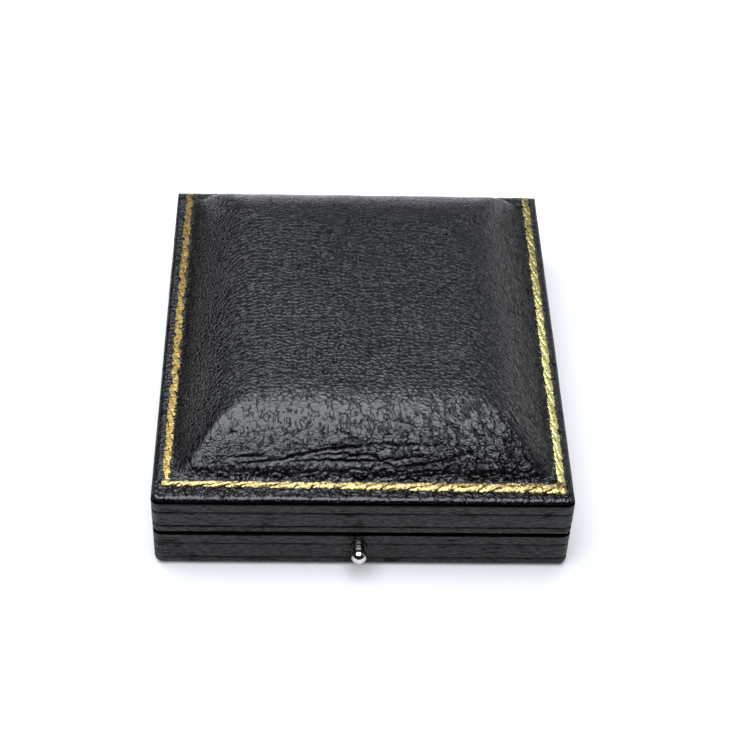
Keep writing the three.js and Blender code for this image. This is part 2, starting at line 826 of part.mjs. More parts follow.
// Thin satin pad under the lining card, hanging down in the middle
function lidSatinPad() {
  const inset = lidWallInset + sideLiningThickness + glueGap;
  const geometry = geometryOf(pad(
    halfWidth - inset, halfDepth - inset, 0, satinEdgeThickness,
    satinCrown, 0, satinRun, satinColumns, satinRows));
  geometry.rotateX(Math.PI);
  geometry.translate(0, 0, cardBottomZ);
  return geometry;
}

// Base with everything that stays still
const base = new THREE.Group();
base.add(
  piece("base_cover", baseCover(), "leather"),
  piece("base_bottom_cover", insetBlock(leatherThickness + turnInWidth, 0, floorBottomZ), "leather"),
  piece("base_floor", insetBlock(leatherThickness, floorBottomZ, floorTopZ), "wood"),
  piece("base_front_wall", baseFrontWall(), "wood"),
  piece("base_back_wall", baseBackWall(), "wood"),
  piece("base_left_wall", baseSideWall(-1), "wood"),
  piece("base_right_wall", baseSideWall(1), "wood"),
  piece("base_rim", baseRim(), "brass"),
  piece("nest_core", nestCore(), "card"),
  piece("nest_velvet", nestVelvet(), "velvet"),
  piece("recess_pad", recessPad(), "velvet"),
  piece("button_bush", buttonBush(), "brass"),
  piece("catch_spring", catchSpring(), "steel"),
);

for (const { words, x, y } of rimPinPlaces) {
  const pin = piece(`base_rim_pin_${words}`, rimPin(), "brass");
  pin.position.set(x, y, baseRimTopZ);
  base.add(pin);
}

springScrewPlaces().forEach((x, index) => {
  const screw = piece(`catch_spring_screw_${["left", "right"][index]}`, springScrew(), "steel");
  screw.position.set(x, springBackY, buttonHeight);
  base.add(screw);
});

hingeCentres.forEach((centre, index) => {
  const reach = hingeHalfLength;
  const pin = rodAlongX(hingePinRadius, -reach, reach, 0, 0, pinSides);
  const mesh = piece(`hinge_pin_${["left", "right"][index]}`, pin, "steel");
  mesh.position.set(centre, hingeY, seamHeight);
  base.add(mesh);
});

// Button with its hook, which slide back together by buttonStroke
const button = new THREE.Group();
button.add(
  piece("push_button", pushButton(), "nickel"),
  piece("catch_hook", catchHook(), "brass"),
);

// Lid, which swings back about the hinge axis
const lid = new THREE.Group();
lid.add(
  piece("lid_cover", lidCover(), "leather"),
  piece("lid_gilt_line", giltLine(), "gold"),
  piece("lid_top_board", lidTopBoard(), "wood"),
  piece("lid_front_wall", lidFrontWall(), "wood"),
  piece("lid_back_wall", lidBackWall(), "wood"),
  piece("lid_left_wall", lidSideWall(-1), "wood"),
  piece("lid_right_wall", lidSideWall(1), "wood"),
  piece("crown_padding", crownPadding(), "padding"),
  piece("lid_rim", lidRim(), "brass"),
  piece("lid_lining_card", insetBlock(lidWallInset, cardBottomZ, boardBottomZ), "card"),
  piece("lid_side_lining", lidSideLining(), "satin"),
  piece("lid_satin_pad", lidSatinPad(), "satin"),
);

for (const { words, x, y } of rimPinPlaces) {
  const pin = piece(`lid_rim_pin_${words}`, rimPin(), "brass");
  pin.rotation.x = Math.PI;
  pin.position.set(x, y, lidRimBottomZ);
  lid.add(pin);
}

const pocketWatchBox = new THREE.Group();
pocketWatchBox.add(base, button, lid);

export default pocketWatchBox;
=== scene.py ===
"""Looks of the pocket watch box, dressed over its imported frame.

The scene is in metres and the shape formulas are in millimetres.
+X right, +Y towards the hinge, +Z up.
"""

from __future__ import annotations
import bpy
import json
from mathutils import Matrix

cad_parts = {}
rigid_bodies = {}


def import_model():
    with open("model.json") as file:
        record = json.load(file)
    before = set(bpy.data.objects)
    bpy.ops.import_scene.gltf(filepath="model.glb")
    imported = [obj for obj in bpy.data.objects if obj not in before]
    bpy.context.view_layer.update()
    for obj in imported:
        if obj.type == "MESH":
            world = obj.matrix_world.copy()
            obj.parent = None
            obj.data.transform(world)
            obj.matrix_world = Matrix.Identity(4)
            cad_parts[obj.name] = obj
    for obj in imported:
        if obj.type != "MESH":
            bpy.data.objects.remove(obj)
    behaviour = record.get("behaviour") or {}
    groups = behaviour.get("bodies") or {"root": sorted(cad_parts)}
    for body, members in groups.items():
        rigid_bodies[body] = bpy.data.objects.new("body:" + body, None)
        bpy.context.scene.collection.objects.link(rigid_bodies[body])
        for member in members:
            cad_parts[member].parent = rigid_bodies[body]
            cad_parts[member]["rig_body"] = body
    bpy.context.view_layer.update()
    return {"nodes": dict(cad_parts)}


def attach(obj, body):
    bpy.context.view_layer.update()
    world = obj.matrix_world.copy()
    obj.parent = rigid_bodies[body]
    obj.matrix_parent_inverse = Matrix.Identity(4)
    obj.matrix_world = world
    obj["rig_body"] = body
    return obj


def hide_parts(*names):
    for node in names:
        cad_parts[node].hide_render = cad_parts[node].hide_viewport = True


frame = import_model()

import json
import logging
import math
from dataclasses import dataclass, field
from enum import Enum
from typing import Any, Sequence

import bmesh
import bpy
import numpy as np
from mathutils import Matrix

Array = np.ndarray
MM = 0.001
log = logging.getLogger("pocket_watch_box")


# ---- numbers over a plane


def ease(low: float, high: float, value: Array) -> Array:
    """Share of the way from low to high, as 3t^2 - 2t^3 with t kept from 0 to 1."""
    share = np.clip((value - low) / (high - low), 0.0, 1.0)
    return share * share * (3.0 - 2.0 * share)


def bell(distance: Array, width: float) -> Array:
    """A bell of height 1: e to the power of minus (distance / width) squared."""
    return np.exp(-((distance / width) ** 2))


@dataclass(frozen=True)
class Ripple:
    """Smooth seeded noise over a plane, between about -1 and 1."""

    seed: int
    size: float
    around: int = 0
    table: int = 256

    def at(self, across: Array, along: Array) -> Array:
        """Noise at points of the plane.

        Each whole lattice point has a random slope. A point takes the slopes of the four round it, each
        times the way from it, blended by 6t^5 - 15t^4 + 10t^3 along both ways.

        Args:
            across: First coordinate in millimetres; it repeats after `around` lattice points.
            along: Second coordinate in millimetres.

        Returns:
            One number for each point.
        """
        turn = np.random.default_rng(self.seed).uniform(0.0, 2.0 * math.pi, (self.table, self.table))
        u, v = np.broadcast_arrays(across / self.size, along / self.size)
        cell_u, cell_v = np.floor(u).astype(int), np.floor(v).astype(int)
        part_u, part_v = u - cell_u, v - cell_v
        blend_u = part_u**3 * (part_u * (6.0 * part_u - 15.0) + 10.0)
        blend_v = part_v**3 * (part_v * (6.0 * part_v - 15.0) + 10.0)
        total = np.zeros(u.shape)
        for step_u in (0, 1):
            for step_v in (0, 1):
                column = (cell_u + step_u) % (self.around or self.table)
                angle = turn[column, (cell_v + step_v) % self.table]
                value = np.cos(angle) * (part_u - step_u) + np.sin(angle) * (part_v - step_v)
                weight_u = blend_u if step_u else 1.0 - blend_u
                weight_v = blend_v if step_v else 1.0 - blend_v
                total += value * weight_u * weight_v
        return total * 1.6


@dataclass(frozen=True)
class Cells:
    """Cells round points scattered one to a lattice square."""

    seed: int
    size: float
    table: int = 256

    def walls(self, across: Array, along: Array) -> Array:
        """Distance from the lines between cells, in millimetres.

        It is half the difference between the distances to the second nearest and the nearest point.

        Args:
            across: First coordinate in millimetres.
            along: Second coordinate in millimetres.

        Returns:
            One distance for each point, 0 on a line.
        """
        scatter = np.random.default_rng(self.seed).uniform(0.1, 0.9, (self.table, self.table, 2))
        u, v = across / self.size, along / self.size
        cell_u, cell_v = np.floor(u).astype(int), np.floor(v).astype(int)
        nearest = np.full(u.shape, 9.0)
        second = np.full(u.shape, 9.0)
        for step_u in (-1, 0, 1):
            for step_v in (-1, 0, 1):
                point = scatter[(cell_u + step_u) % self.table, (cell_v + step_v) % self.table]
                away = np.hypot(cell_u + step_u + point[..., 0] - u, cell_v + step_v + point[..., 1] - v)
                second = np.minimum(second, np.maximum(nearest, away))
                nearest = np.minimum(nearest, away)
        return (second - nearest) * self.size / 2.0


def dome(distance: Array | float, run: float) -> Array:
    """A quarter circle's rise to 1: the square root of 1 - (1 - distance / run) squared, up to the run."""
    return np.sqrt(1.0 - (1.0 - np.clip(distance / run, 0.0, 1.0)) ** 2)


def length_along(path: Array) -> Array:
    """Length from a path's start to each of its points, as the sum of its straight steps."""
    return np.concatenate([[0.0], np.cumsum(np.hypot(*np.diff(path, axis=0).T))])


def from_line(points: Sequence[tuple[float, float]], x: Array, y: Array) -> tuple[Array, Array]:
    """Distance of each (x, y) from a line of straight stretches, and the share of its length there.

    For each stretch the nearest point is the foot of the perpendicular, kept between its ends.

    Args:
        points: The line's corners.
        x: Places across.
        y: Places along.

    Returns:
        The distances and the shares, from 0 to 1.
    """
    line = np.asarray(points, float)
    reach = length_along(line)
    best, share = np.full(x.shape, 1e9), np.zeros(x.shape)
    for start, end, low, high in zip(line[:-1], line[1:], reach[:-1], reach[1:]):
        way = end - start
        part = np.clip(((x - start[0]) * way[0] + (y - start[1]) * way[1]) / (way @ way), 0.0, 1.0)
        away = np.hypot(x - start[0] - part * way[0], y - start[1] - part * way[1])
        share = np.where(away < best, (low + part * (high - low)) / reach[-1], share)
        best = np.minimum(best, away)
    return best, share


# ---- meshes


class Shape:
    """Points and faces of a piece in the making, in millimetres, with numbers on each point."""

    def __init__(self, **channels: int) -> None:
        """Starts empty. Each channel is a name and how many numbers it holds, 1 or 3."""
        self.channels = channels
        self.points: list[Array] = []
        self.values: dict[str, list[Array]] = {name: [] for name in channels}
        self.faces: list[Array] = []
        self.count = 0

    def add(self, points: Array, **values: Array | float) -> Array:
        """Adds a grid or a row of points.

        Args:
            points: Array whose last axis is x, y, z.
            values: The channels' numbers there; a channel left out is 0.

        Returns:
            The points' indices, in the shape of the grid.
        """
        flat = points.reshape(-1, 3)
        self.points.append(flat)
        for name, width in self.channels.items():
            shape = points.shape[:-1] if width == 1 else points.shape
            held = np.broadcast_to(np.asarray(values.get(name, 0.0), float), shape)
            self.values[name].append(held.reshape((-1,) if width == 1 else (-1, width)))
        indices = np.arange(self.count, self.count + len(flat)).reshape(points.shape[:-1])
        self.count += len(flat)
        return indices

    def quads(self, grid: Array, keep: Array | None = None) -> None:
        """Faces between neighbours of a grid of indices; repeat its first row or column to close it.

        Args:
            grid: Indices, in rows and columns.
            keep: Which faces are wanted, one row and column fewer than the grid.
        """
        faces = np.stack([grid[:-1, :-1], grid[:-1, 1:], grid[1:, 1:], grid[1:, :-1]], axis=-1)
        chosen = faces.reshape(-1, 4) if keep is None else faces[keep]
        self.faces.append(chosen)

    def polygons(self, faces: Array) -> None:
        """Faces with any one number of corners, one in each row of an array of indices."""
        self.faces.append(np.atleast_2d(faces))

    def piece(self, name: str, material: bpy.types.Material, outwards: bool = True) -> bpy.types.Object:
        """Makes the object, smooth, with its material.

        Args:
            name: The piece's name.
            material: Its finish.
            outwards: Whether the faces are turned outwards, as a closed shape's have to be.

        Returns:
            The new object, at the origin.
        """
        mesh = bpy.data.meshes.new(name)
        points = np.concatenate(self.points) * MM
        corners = np.concatenate([faces.ravel() for faces in self.faces])
        sizes = np.concatenate([np.full(len(faces), faces.shape[1]) for faces in self.faces])
        mesh.vertices.add(len(points))
        mesh.vertices.foreach_set("co", points.ravel().astype(np.float32))
        mesh.loops.add(len(corners))
        mesh.loops.foreach_set("vertex_index", corners.astype(np.int32))
        mesh.polygons.add(len(sizes))
        mesh.polygons.foreach_set("loop_start", (np.cumsum(sizes) - sizes).astype(np.int32))
        for channel, width in self.channels.items():
            kind, key = ("FLOAT", "value") if width == 1 else ("FLOAT_VECTOR", "vector")
            held = mesh.attributes.new(channel, kind, "POINT")
            held.data.foreach_set(key, np.concatenate(self.values[channel]).ravel().astype(np.float32))
        mesh.update(calc_edges=True)
        if outwards:
            turned = bmesh.new()
            turned.from_mesh(mesh)
            bmesh.ops.recalc_face_normals(turned, faces=turned.faces)
            turned.to_mesh(mesh)
            turned.free()
        mesh.shade_smooth()
        mesh.materials.append(material)
        return placed(name, mesh)


def rim_of(grid: Array) -> Array:
    """The border of a grid, once round: along its first row, last column, last row and first column."""
    return np.concatenate([grid[0, :-1], grid[:-1, -1], grid[-1, :0:-1], grid[:0:-1, 0]])


def raised(plan: Array, height: Array | float) -> Array:
    """Points of a plan at a height, one for all or one for each."""
    return np.concatenate([plan, np.broadcast_to(height, len(plan))[:, None]], axis=1)


def placed(name: str, data: bpy.types.ID) -> bpy.types.Object:
    """A new object of the scene, at the origin."""
    thing = bpy.data.objects.new(name, data)
    bpy.context.scene.collection.objects.link(thing)
    return thing


def closed(grid: Array, axis: int) -> Array:
    """A grid of indices with its first row or column repeated at its end."""
    return np.concatenate([grid, np.take(grid, [0], axis=axis)], axis=axis)


def turned_shape(profile: Array, centre: tuple[float, float, float], sides: int) -> Array:
    """A profile turned about a line along Y.

    A profile point (radius, y) becomes x = radius cos a, z = radius sin a round the centre, for even a.

    Args:
        profile: Rows of (radius, y), y from the centre's.
        centre: A point of the line.
        sides: Number of steps round it.

    Returns:
        Points as rows along the profile and columns round the line.
    """
    angle = np.linspace(0.0, 2.0 * math.pi, sides, endpoint=False)
    radius, along = profile[:, :1], profile[:, 1:]
    level = centre[1] + along * np.ones_like(angle)
    return np.stack([centre[0] + radius * np.cos(angle), level, centre[2] + radius * np.sin(angle)], axis=-1)


def normals_of(points: Array) -> Array:
    """Unit normals of a grid of points: the cross product of its two ways, for each point."""
    across, along = np.gradient(points, axis=1), np.gradient(points, axis=0)
    normal = np.cross(across, along)
    return normal / np.maximum(np.linalg.norm(normal, axis=-1, keepdims=True), 1e-9)


# ---- shader boards


class Signal:
    """A node's output that does arithmetic: every operator adds a Math node."""

    def __init__(self, board: Board, socket: bpy.types.NodeSocket) -> None:
        """Wraps an output socket of a board's node."""
        self.board = board
        self.socket = socket

    def math(self, operation: str, *others: Signal | float, first: bool = True) -> Signal:
        """A Math node's result, with this signal as its first or its second value."""
        values = (self, *others) if first else (*others, self)
        return self.board.node("Math", {"operation": operation}, dict(enumerate(values)))

    def __add__(self, other: Signal | float) -> Signal:
        """The sum."""
        return self.math("ADD", other)

    def __radd__(self, other: Signal | float) -> Signal:
        """The sum, reflected."""
        return self.math("ADD", other, first=False)

    def __sub__(self, other: Signal | float) -> Signal:
        """The difference."""
        return self.math("SUBTRACT", other)

    def __rsub__(self, other: Signal | float) -> Signal:
        """The difference, reflected."""
        return self.math("SUBTRACT", other, first=False)

    def __mul__(self, other: Signal | float) -> Signal:
        """The product."""
        return self.math("MULTIPLY", other)

    def __abs__(self) -> Signal:
        """The size without its sign."""
        return self.math("ABSOLUTE")

    def at_most(self, other: Signal | float) -> Signal:
        """The smaller of two."""
        return self.math("MINIMUM", other)

    def at_least(self, other: Signal | float) -> Signal:
        """The larger of two."""
        return self.math("MAXIMUM", other)

    def rise(self, low: float, high: float) -> Signal:
        """A smooth step.

        Args:
            low: Where it is 0.
            high: Where it is 1; it may lie below low.

        Returns:
            The step's height.
        """
        sockets = {"Value": self, "From Min": low, "From Max": high, "To Min": 0.0, "To Max": 1.0}
        return self.board.node("MapRange", {"interpolation_type": "SMOOTHSTEP"}, sockets)


class Board:
    """The nodes of one material or world."""

    def __init__(self, owner: bpy.types.Material | bpy.types.World) -> None:
        """Clears the owner's nodes, so that the board starts empty."""
        owner.use_nodes = True
        self.tree = owner.node_tree
        self.tree.nodes.clear()

    def node(self, kind: str, settings: dict[str, Any] | None = None,
             sockets: dict[str | int, Any] | None = None, output: str | int = 0) -> Signal:
        """Adds a node of any kind.

        Args:
            kind: The node's type, without its ShaderNode.
            settings: Its own settings, which are set first.
            sockets: Values or signals for its inputs, by name or number.
            output: Which output is wanted.

        Returns:
            That output as a signal.
        """
        made = self.tree.nodes.new("ShaderNode" + kind)
        for name, value in (settings or {}).items():
            setattr(made, name, value)
        for name, value in (sockets or {}).items():
            if isinstance(value, Signal):
                self.tree.links.new(value.socket, made.inputs[name])
            else:
                made.inputs[name].default_value = value
        return Signal(self, made.outputs[output])

    def places(self) -> Signal:
        """Object coordinates in millimetres."""
        place = self.node("TexCoord", output="Object")
        return self.node("VectorMath", {"operation": "SCALE"}, {0: place, "Scale": 1.0 / MM})

    def channel(self, name: str, output: str = "Fac") -> Signal:
        """A mesh attribute, as a number or with output Vector as a vector."""
        return self.node("Attribute", {"attribute_name": name}, output=output)

    def part(self, vector: Signal, axis: str) -> Signal:
        """One of a vector's three numbers, by the axis's name."""
        return self.node("SeparateXYZ", {}, {0: vector}, axis)

    def stretched(self, vector: Signal, x: float, y: float, z: float) -> Signal:
        """A vector with its parts multiplied."""
        return self.node("VectorMath", {"operation": "MULTIPLY"}, {0: vector, 1: (x, y, z)})

    def shaken(self, vector: Signal, size: float, reach: float) -> Signal:
        """A vector moved by noise.

        Args:
            vector: The vector.
            size: The noise's features, in millimetres.
            reach: Twice the furthest that it moves.

        Returns:
            The vector plus reach times (noise - 1/2).
        """
        shake = self.node("TexNoise", {}, {"Vector": vector, "Scale": 1.0 / size, "Detail": 2.0}, "Color")
        sockets = {0: shake, 1: (reach,) * 3, 2: (-reach / 2,) * 3}
        shift = self.node("VectorMath", {"operation": "MULTIPLY_ADD"}, sockets)
        return self.node("VectorMath", {"operation": "ADD"}, {0: vector, 1: shift})

    def noise(self, vector: Signal, size: float, detail: float = 2.0, rough: float = 0.5) -> Signal:
        """Noise from 0 to 1, mostly near a half, with features of that size."""
        sockets = {"Vector": vector, "Scale": 1.0 / size, "Detail": detail, "Roughness": rough}
        return self.node("TexNoise", {}, sockets)

    def cell_walls(self, vector: Signal, size: float, dimensions: str = "2D") -> Signal:
        """Distance from the lines between cells of that size, in millimetres."""
        settings = {"feature": "DISTANCE_TO_EDGE", "voronoi_dimensions": dimensions}
        return self.node("TexVoronoi", settings, {"Vector": vector, "Scale": 1.0 / size}) * size

    def mixed(self, share: Signal | float, low: Any, high: Any, kind: str = "RGBA") -> Signal:
        """A mix of two colours or numbers.

        Args:
            share: 0 for low and 1 for high.
            low: The first, a colour, a number or a signal.
            high: The second.
            kind: RGBA for colours, FLOAT for numbers.

        Returns:
            The mix.
        """
        first, made = {"RGBA": (6, 2), "FLOAT": (2, 0)}[kind]
        ends = [(*end, 1.0) if isinstance(end, tuple) and len(end) == 3 and kind == "RGBA" else end
                for end in (low, high)]
        return self.node("Mix", {"data_type": kind}, {0: share, first: ends[0], first + 1: ends[1]}, made)

    def bumped(self, height: Signal) -> Signal:
        """The normal of a surface with that height in millimetres."""
        return self.node("Bump", {}, {"Height": height, "Strength": 1.0, "Distance": MM})

    def principled(self, sockets: dict[str, Any]) -> Signal:
        """A principled shader with those sockets."""
        return self.node("BsdfPrincipled", {}, sockets)

    def surface(self, shader: Signal) -> None:
        """Ends the board with the shader of a surface."""
        self.node_end("OutputMaterial", shader)

    def node_end(self, kind: str, shader: Signal) -> None:
        """Links a shader to an output node."""
        end = self.tree.nodes.new("ShaderNode" + kind)
        self.tree.links.new(shader.socket, end.inputs["Surface"])


Color = tuple[float, float, float]


class Finish:
    """Something that a piece is finished in."""

    name: str

    def dress(self, board: Board) -> Signal:
        """Builds the finish on a board.

        Args:
            board: An empty board.

        Returns:
            The shader.
        """
        raise NotImplementedError

    def material(self) -> bpy.types.Material:
        """The finish as a material, made once.

        Returns:
            The material.
        """
        found = bpy.data.materials.get(self.name)
        if found is None:
            found = bpy.data.materials.new(self.name)
            board = Board(found)
            board.surface(self.dress(board))
        return found


@dataclass(frozen=True)
class Leather(Finish):
    """Black pebbled leather with a glazed face: grain, cracks between the pebbles, long folds, and painted
    shade in them.
    """

    name: str = "black_leather"
    color: Color = (0.0014, 0.0015, 0.0021)
    worn: Color = (0.003, 0.003, 0.0037)
    # Painted shade: the next colour is that of the black shader mixed in where the leather lies deep.
    crevice_shade: Color = (0.0004, 0.0004, 0.0005)
    refraction: float = 1.5
    top_roughness: float = 0.115
    wall_roughness: float = 0.34
    pebble: float = 1.12
    plate: float = 2.0
    seed: float = 0.5
    streak: float = 0.42
    wrinkle: float = 0.85

    def top(self, board: Board) -> tuple[Signal, Signal]:
        """Height of the leather on the lid's top, and the depth of its painted shade.

        Pebbles, plates and seeds are cells of three sizes on the flow channel. Drawn and level are fine
        cracks where noise crosses its middle, upright and level, and ridges are the combed grain.

        Args:
            board: The board to build on.

        Returns:
            The height in millimetres, and the painted shade from 0 to 1.
        """
        flow = board.channel("flow", "Vector")
        pucker, comb, crackle = (board.channel(name) for name in ("pucker", "comb", "crackle"))
        loose = board.shaken(board.shaken(flow, 4.0, 1.6), 1.2, 0.75)
        pebbles = board.cell_walls(board.stretched(loose, 1.0, 1.05, 1.0), self.pebble)
        torn = board.shaken(board.shaken(loose, 2.0, 1.4), 0.7, 0.5)
        plates = board.cell_walls(board.stretched(torn, 1.15, 0.8, 1.0), self.plate)
        seeds = board.cell_walls(board.stretched(board.shaken(flow, 0.5, 0.3), 0.8, 1.0, 1.0), self.seed)
        patches = board.noise(flow, 6.0, 1.0)
        specks = board.noise(flow, 1.5, 1.0)
        drawn = abs(board.noise(board.stretched(loose, 1.0, 0.3, 1.0), 1.1, 2.0) - 0.5)
        level = abs(board.noise(board.stretched(loose, 0.24, 1.0, 1.0), 0.9, 2.0) - 0.5)
        ridges = board.noise(board.stretched(loose, 1.0, 0.2, 1.0), 0.95, 1.0).rise(0.36, 0.56)
        pores = board.noise(flow, 0.42, 1.0).rise(0.6, 0.7)
        lumps = pucker.rise(0.78, 0.96)
        shoulder = pucker.rise(0.4, 0.62)
        upright = drawn.rise(0.04, 0.005) * (specks + crackle * 0.12).rise(0.42, 0.6) * (1.0 - lumps * 0.6)
        flat = level.rise(0.035, 0.0) * lumps
        split = plates.rise(0.09, 0.04) * shoulder
        split = split * (specks * 0.7 + patches * 0.8 + crackle * 0.16).rise(0.72, 0.84)
        open_share = (specks * 0.8 + crackle * 0.22 + lumps * 0.1 - shoulder * 0.06).rise(0.44, 0.62)
        cracked = (pebbles - shoulder * 0.015).rise(0.075, 0.025) * open_share
        valleys = ridges.rise(0.3, 0.02) * comb
        height = (
            pebbles.rise(0.0, 0.2)
            * (0.055 - crackle * 0.01 - shoulder * 0.032 + lumps * 0.03)
            * (0.5 + patches)
            + pebbles.rise(0.1, 0.6) * (0.03 - shoulder * 0.024 + lumps * 0.06)
            + plates.rise(0.0, 0.3) * shoulder * 0.03
            + seeds.rise(0.0, 0.16) * 0.014
            + ridges * comb * 0.16
            - upright * 0.06
            - flat * 0.05
        )
        # Painted shade in the cracks, splits, combed valleys and pores, for the shade that falls inside them.
        shade = (cracked * (0.5 + pucker * 0.4)).at_least(upright * 0.7).at_least(flat * 0.8)
        shade = shade.at_least(split * 0.95).at_least(valleys * 0.7)
        return height, shade.at_least(pores * shoulder * (crackle * 0.4 + 0.2))

    def side(self, board: Board) -> tuple[Signal, Signal]:
        """Height and depth of painted shade of the leather on the walls, which is drawn out in level lines.

        Args:
            board: The board to build on.

        Returns:
            The height in millimetres, and the shade from 0 to 1: painted shade in the cracks, over a dull
            ground that darkens the whole wall.
        """
        place = board.shaken(board.places(), 6.0, 0.9)
        streaks = board.noise(board.stretched(place, 0.3, 0.3, 1.0), self.streak, 3.0, 0.6)
        pores = board.noise(board.stretched(place, 0.6, 0.6, 1.0), 0.32, 2.0)
        lines = abs(board.noise(board.stretched(place, 0.06, 0.06, 1.0), 0.8, 2.0) - 0.5)
        share = board.noise(place, 7.0, 1.0).rise(0.42, 0.62)
        drawn = board.stretched(board.shaken(place, 1.0, 0.5), 0.42, 0.42, 1.0)
        wrinkles = board.cell_walls(drawn, self.wrinkle, "3D")
        height = streaks * 0.07 + pores * 0.05 + wrinkles.rise(0.0, 0.2) * 0.05
        dull = 0.14 + streaks.rise(0.42, 0.62) * 0.34 + pores.rise(0.5, 0.62) * 0.15
        # Painted shade in the wrinkles' cracks and in the drawn lines.
        broken = wrinkles.rise(0.06, 0.015) * streaks.rise(0.4, 0.55) * 0.6
        broken = broken.at_least(lines.rise(0.04, 0.01) * share * 0.9)
        return height, broken.at_least(dull)

    def dress(self, board: Board) -> Signal:
        """Mixes the top's and the walls' leather by the side channel, and paints shade where it lies deep."""
        side, crease = board.channel("side"), board.channel("crease")
        top_height, top_shade = self.top(board)
        side_height, side_shade = self.side(board)
        height = board.mixed(side, top_height, side_height, "FLOAT")
        shade = board.mixed(side, top_shade, side_shade, "FLOAT").at_least(crease).at_most(1.0)
        clouds = board.noise(board.places(), 9.0, 2.0)
        face = board.principled({
            "Base Color": board.mixed(clouds, self.color, self.worn),
            "Roughness": clouds * 0.08 + board.mixed(side, self.top_roughness, self.wall_roughness, "FLOAT"),
            "IOR": self.refraction,
            "Normal": board.bumped(height),
        })
        # Painted shade: a black, unreflecting shader mixed in by the shade, in cracks, creases, grooves and
        # the lips.
        dark = {"Base Color": (*self.crevice_shade, 1.0), "Roughness": 0.9, "Specular IOR Level": 0.0}
        deep = board.principled(dark)
        return board.node("MixShader", {}, {0: shade, 1: face, 2: deep})


@dataclass(frozen=True)
class GoldLeaf(Finish):
    """Gold foil pressed into the leather: broken at its edges, cracked, and cut through by the twist."""

    name: str = "gold_leaf"
    color: Color = (0.53, 0.35, 0.10)
    pale: Color = (0.98, 0.89, 0.35)
    # The next colour is dirt and painted shade, and also darkens the gold towards the back.
    dirt_and_shade_color: Color = (0.14, 0.10, 0.033)
    rubbed: Color = (0.30, 0.24, 0.11)

    def dress(self, board: Board) -> Signal:
        """The strip channel holds the dirt and painted shade, the way across from -1 to 1, and the twist's
        groove.

        The colour is redder and darker on the left and yellower and paler on the right, a painted reflection
        of what the two sides face. It is darker towards the back, and darker and greyer along the front.
        """
        strip = board.channel("strip", "Vector")
        place = board.places()
        across, groove = board.part(strip, "Y"), board.part(strip, "Z")
        ragged = board.noise(place, 0.42, 3.0, 0.65)
        cracks = board.cell_walls(board.shaken(place, 0.8, 0.6), 1.5, "3D")
        specks = board.noise(place, 0.6, 2.0)
        edge = (abs(across) + (ragged - 0.5) * 1.1).rise(0.96, 0.86)
        whole = (cracks.rise(0.03, 0.075) + specks.rise(0.56, 0.44)).at_most(1.0)
        cover = edge * whole * groove.rise(0.8, 0.55)
        clouds = board.noise(place, 1.6, 2.0)
        # Painted reflection: the left is redder and darker, the right yellower and paler. The gold also
        # darkens towards the back.
        side = board.part(place, "X").rise(-38.0, 38.0)
        back = board.part(place, "Y").rise(-10.0, 46.0)
        share = side * (0.85 - back * 0.35) + clouds.rise(0.35, 0.65) * 0.15
        tone = board.mixed(back * 0.35, board.mixed(share, self.color, self.pale), self.dirt_and_shade_color)
        # Along the front the colour is darker and greyer.
        front = board.part(place, "Y").rise(-43.6, -44.1)
        tone = board.mixed(front, tone, self.rubbed)
        crumple = board.noise(place, 0.3, 2.0) * 0.035 + board.noise(place, 0.9, 1.0) * (front * 0.16 + 0.05)
        # Dirt and painted shade, for the darker reflection on the front stretch's inner half.
        dirt_and_shade = board.part(strip, "X") * board.noise(place, 0.7, 2.0).rise(0.72, 0.42)
        return board.principled({
            "Base Color": board.mixed(dirt_and_shade, tone, self.dirt_and_shade_color),
            "Metallic": 1.0,
            "Roughness": 0.26 + clouds * 0.14,
            "Alpha": cover,
            "Normal": board.bumped(crumple),
        })


class Metal(Enum):
    """The metals of the box: name, colour, roughness, and how far they are tarnished."""

    BRASS = ("brass", (0.58, 0.41, 0.14), 0.24, 0.45)
    NICKEL = ("polished_nickel", (0.60, 0.58, 0.55), 0.09, 0.2)
    STEEL = ("spring_steel", (0.33, 0.34, 0.36), 0.3, 0.35)


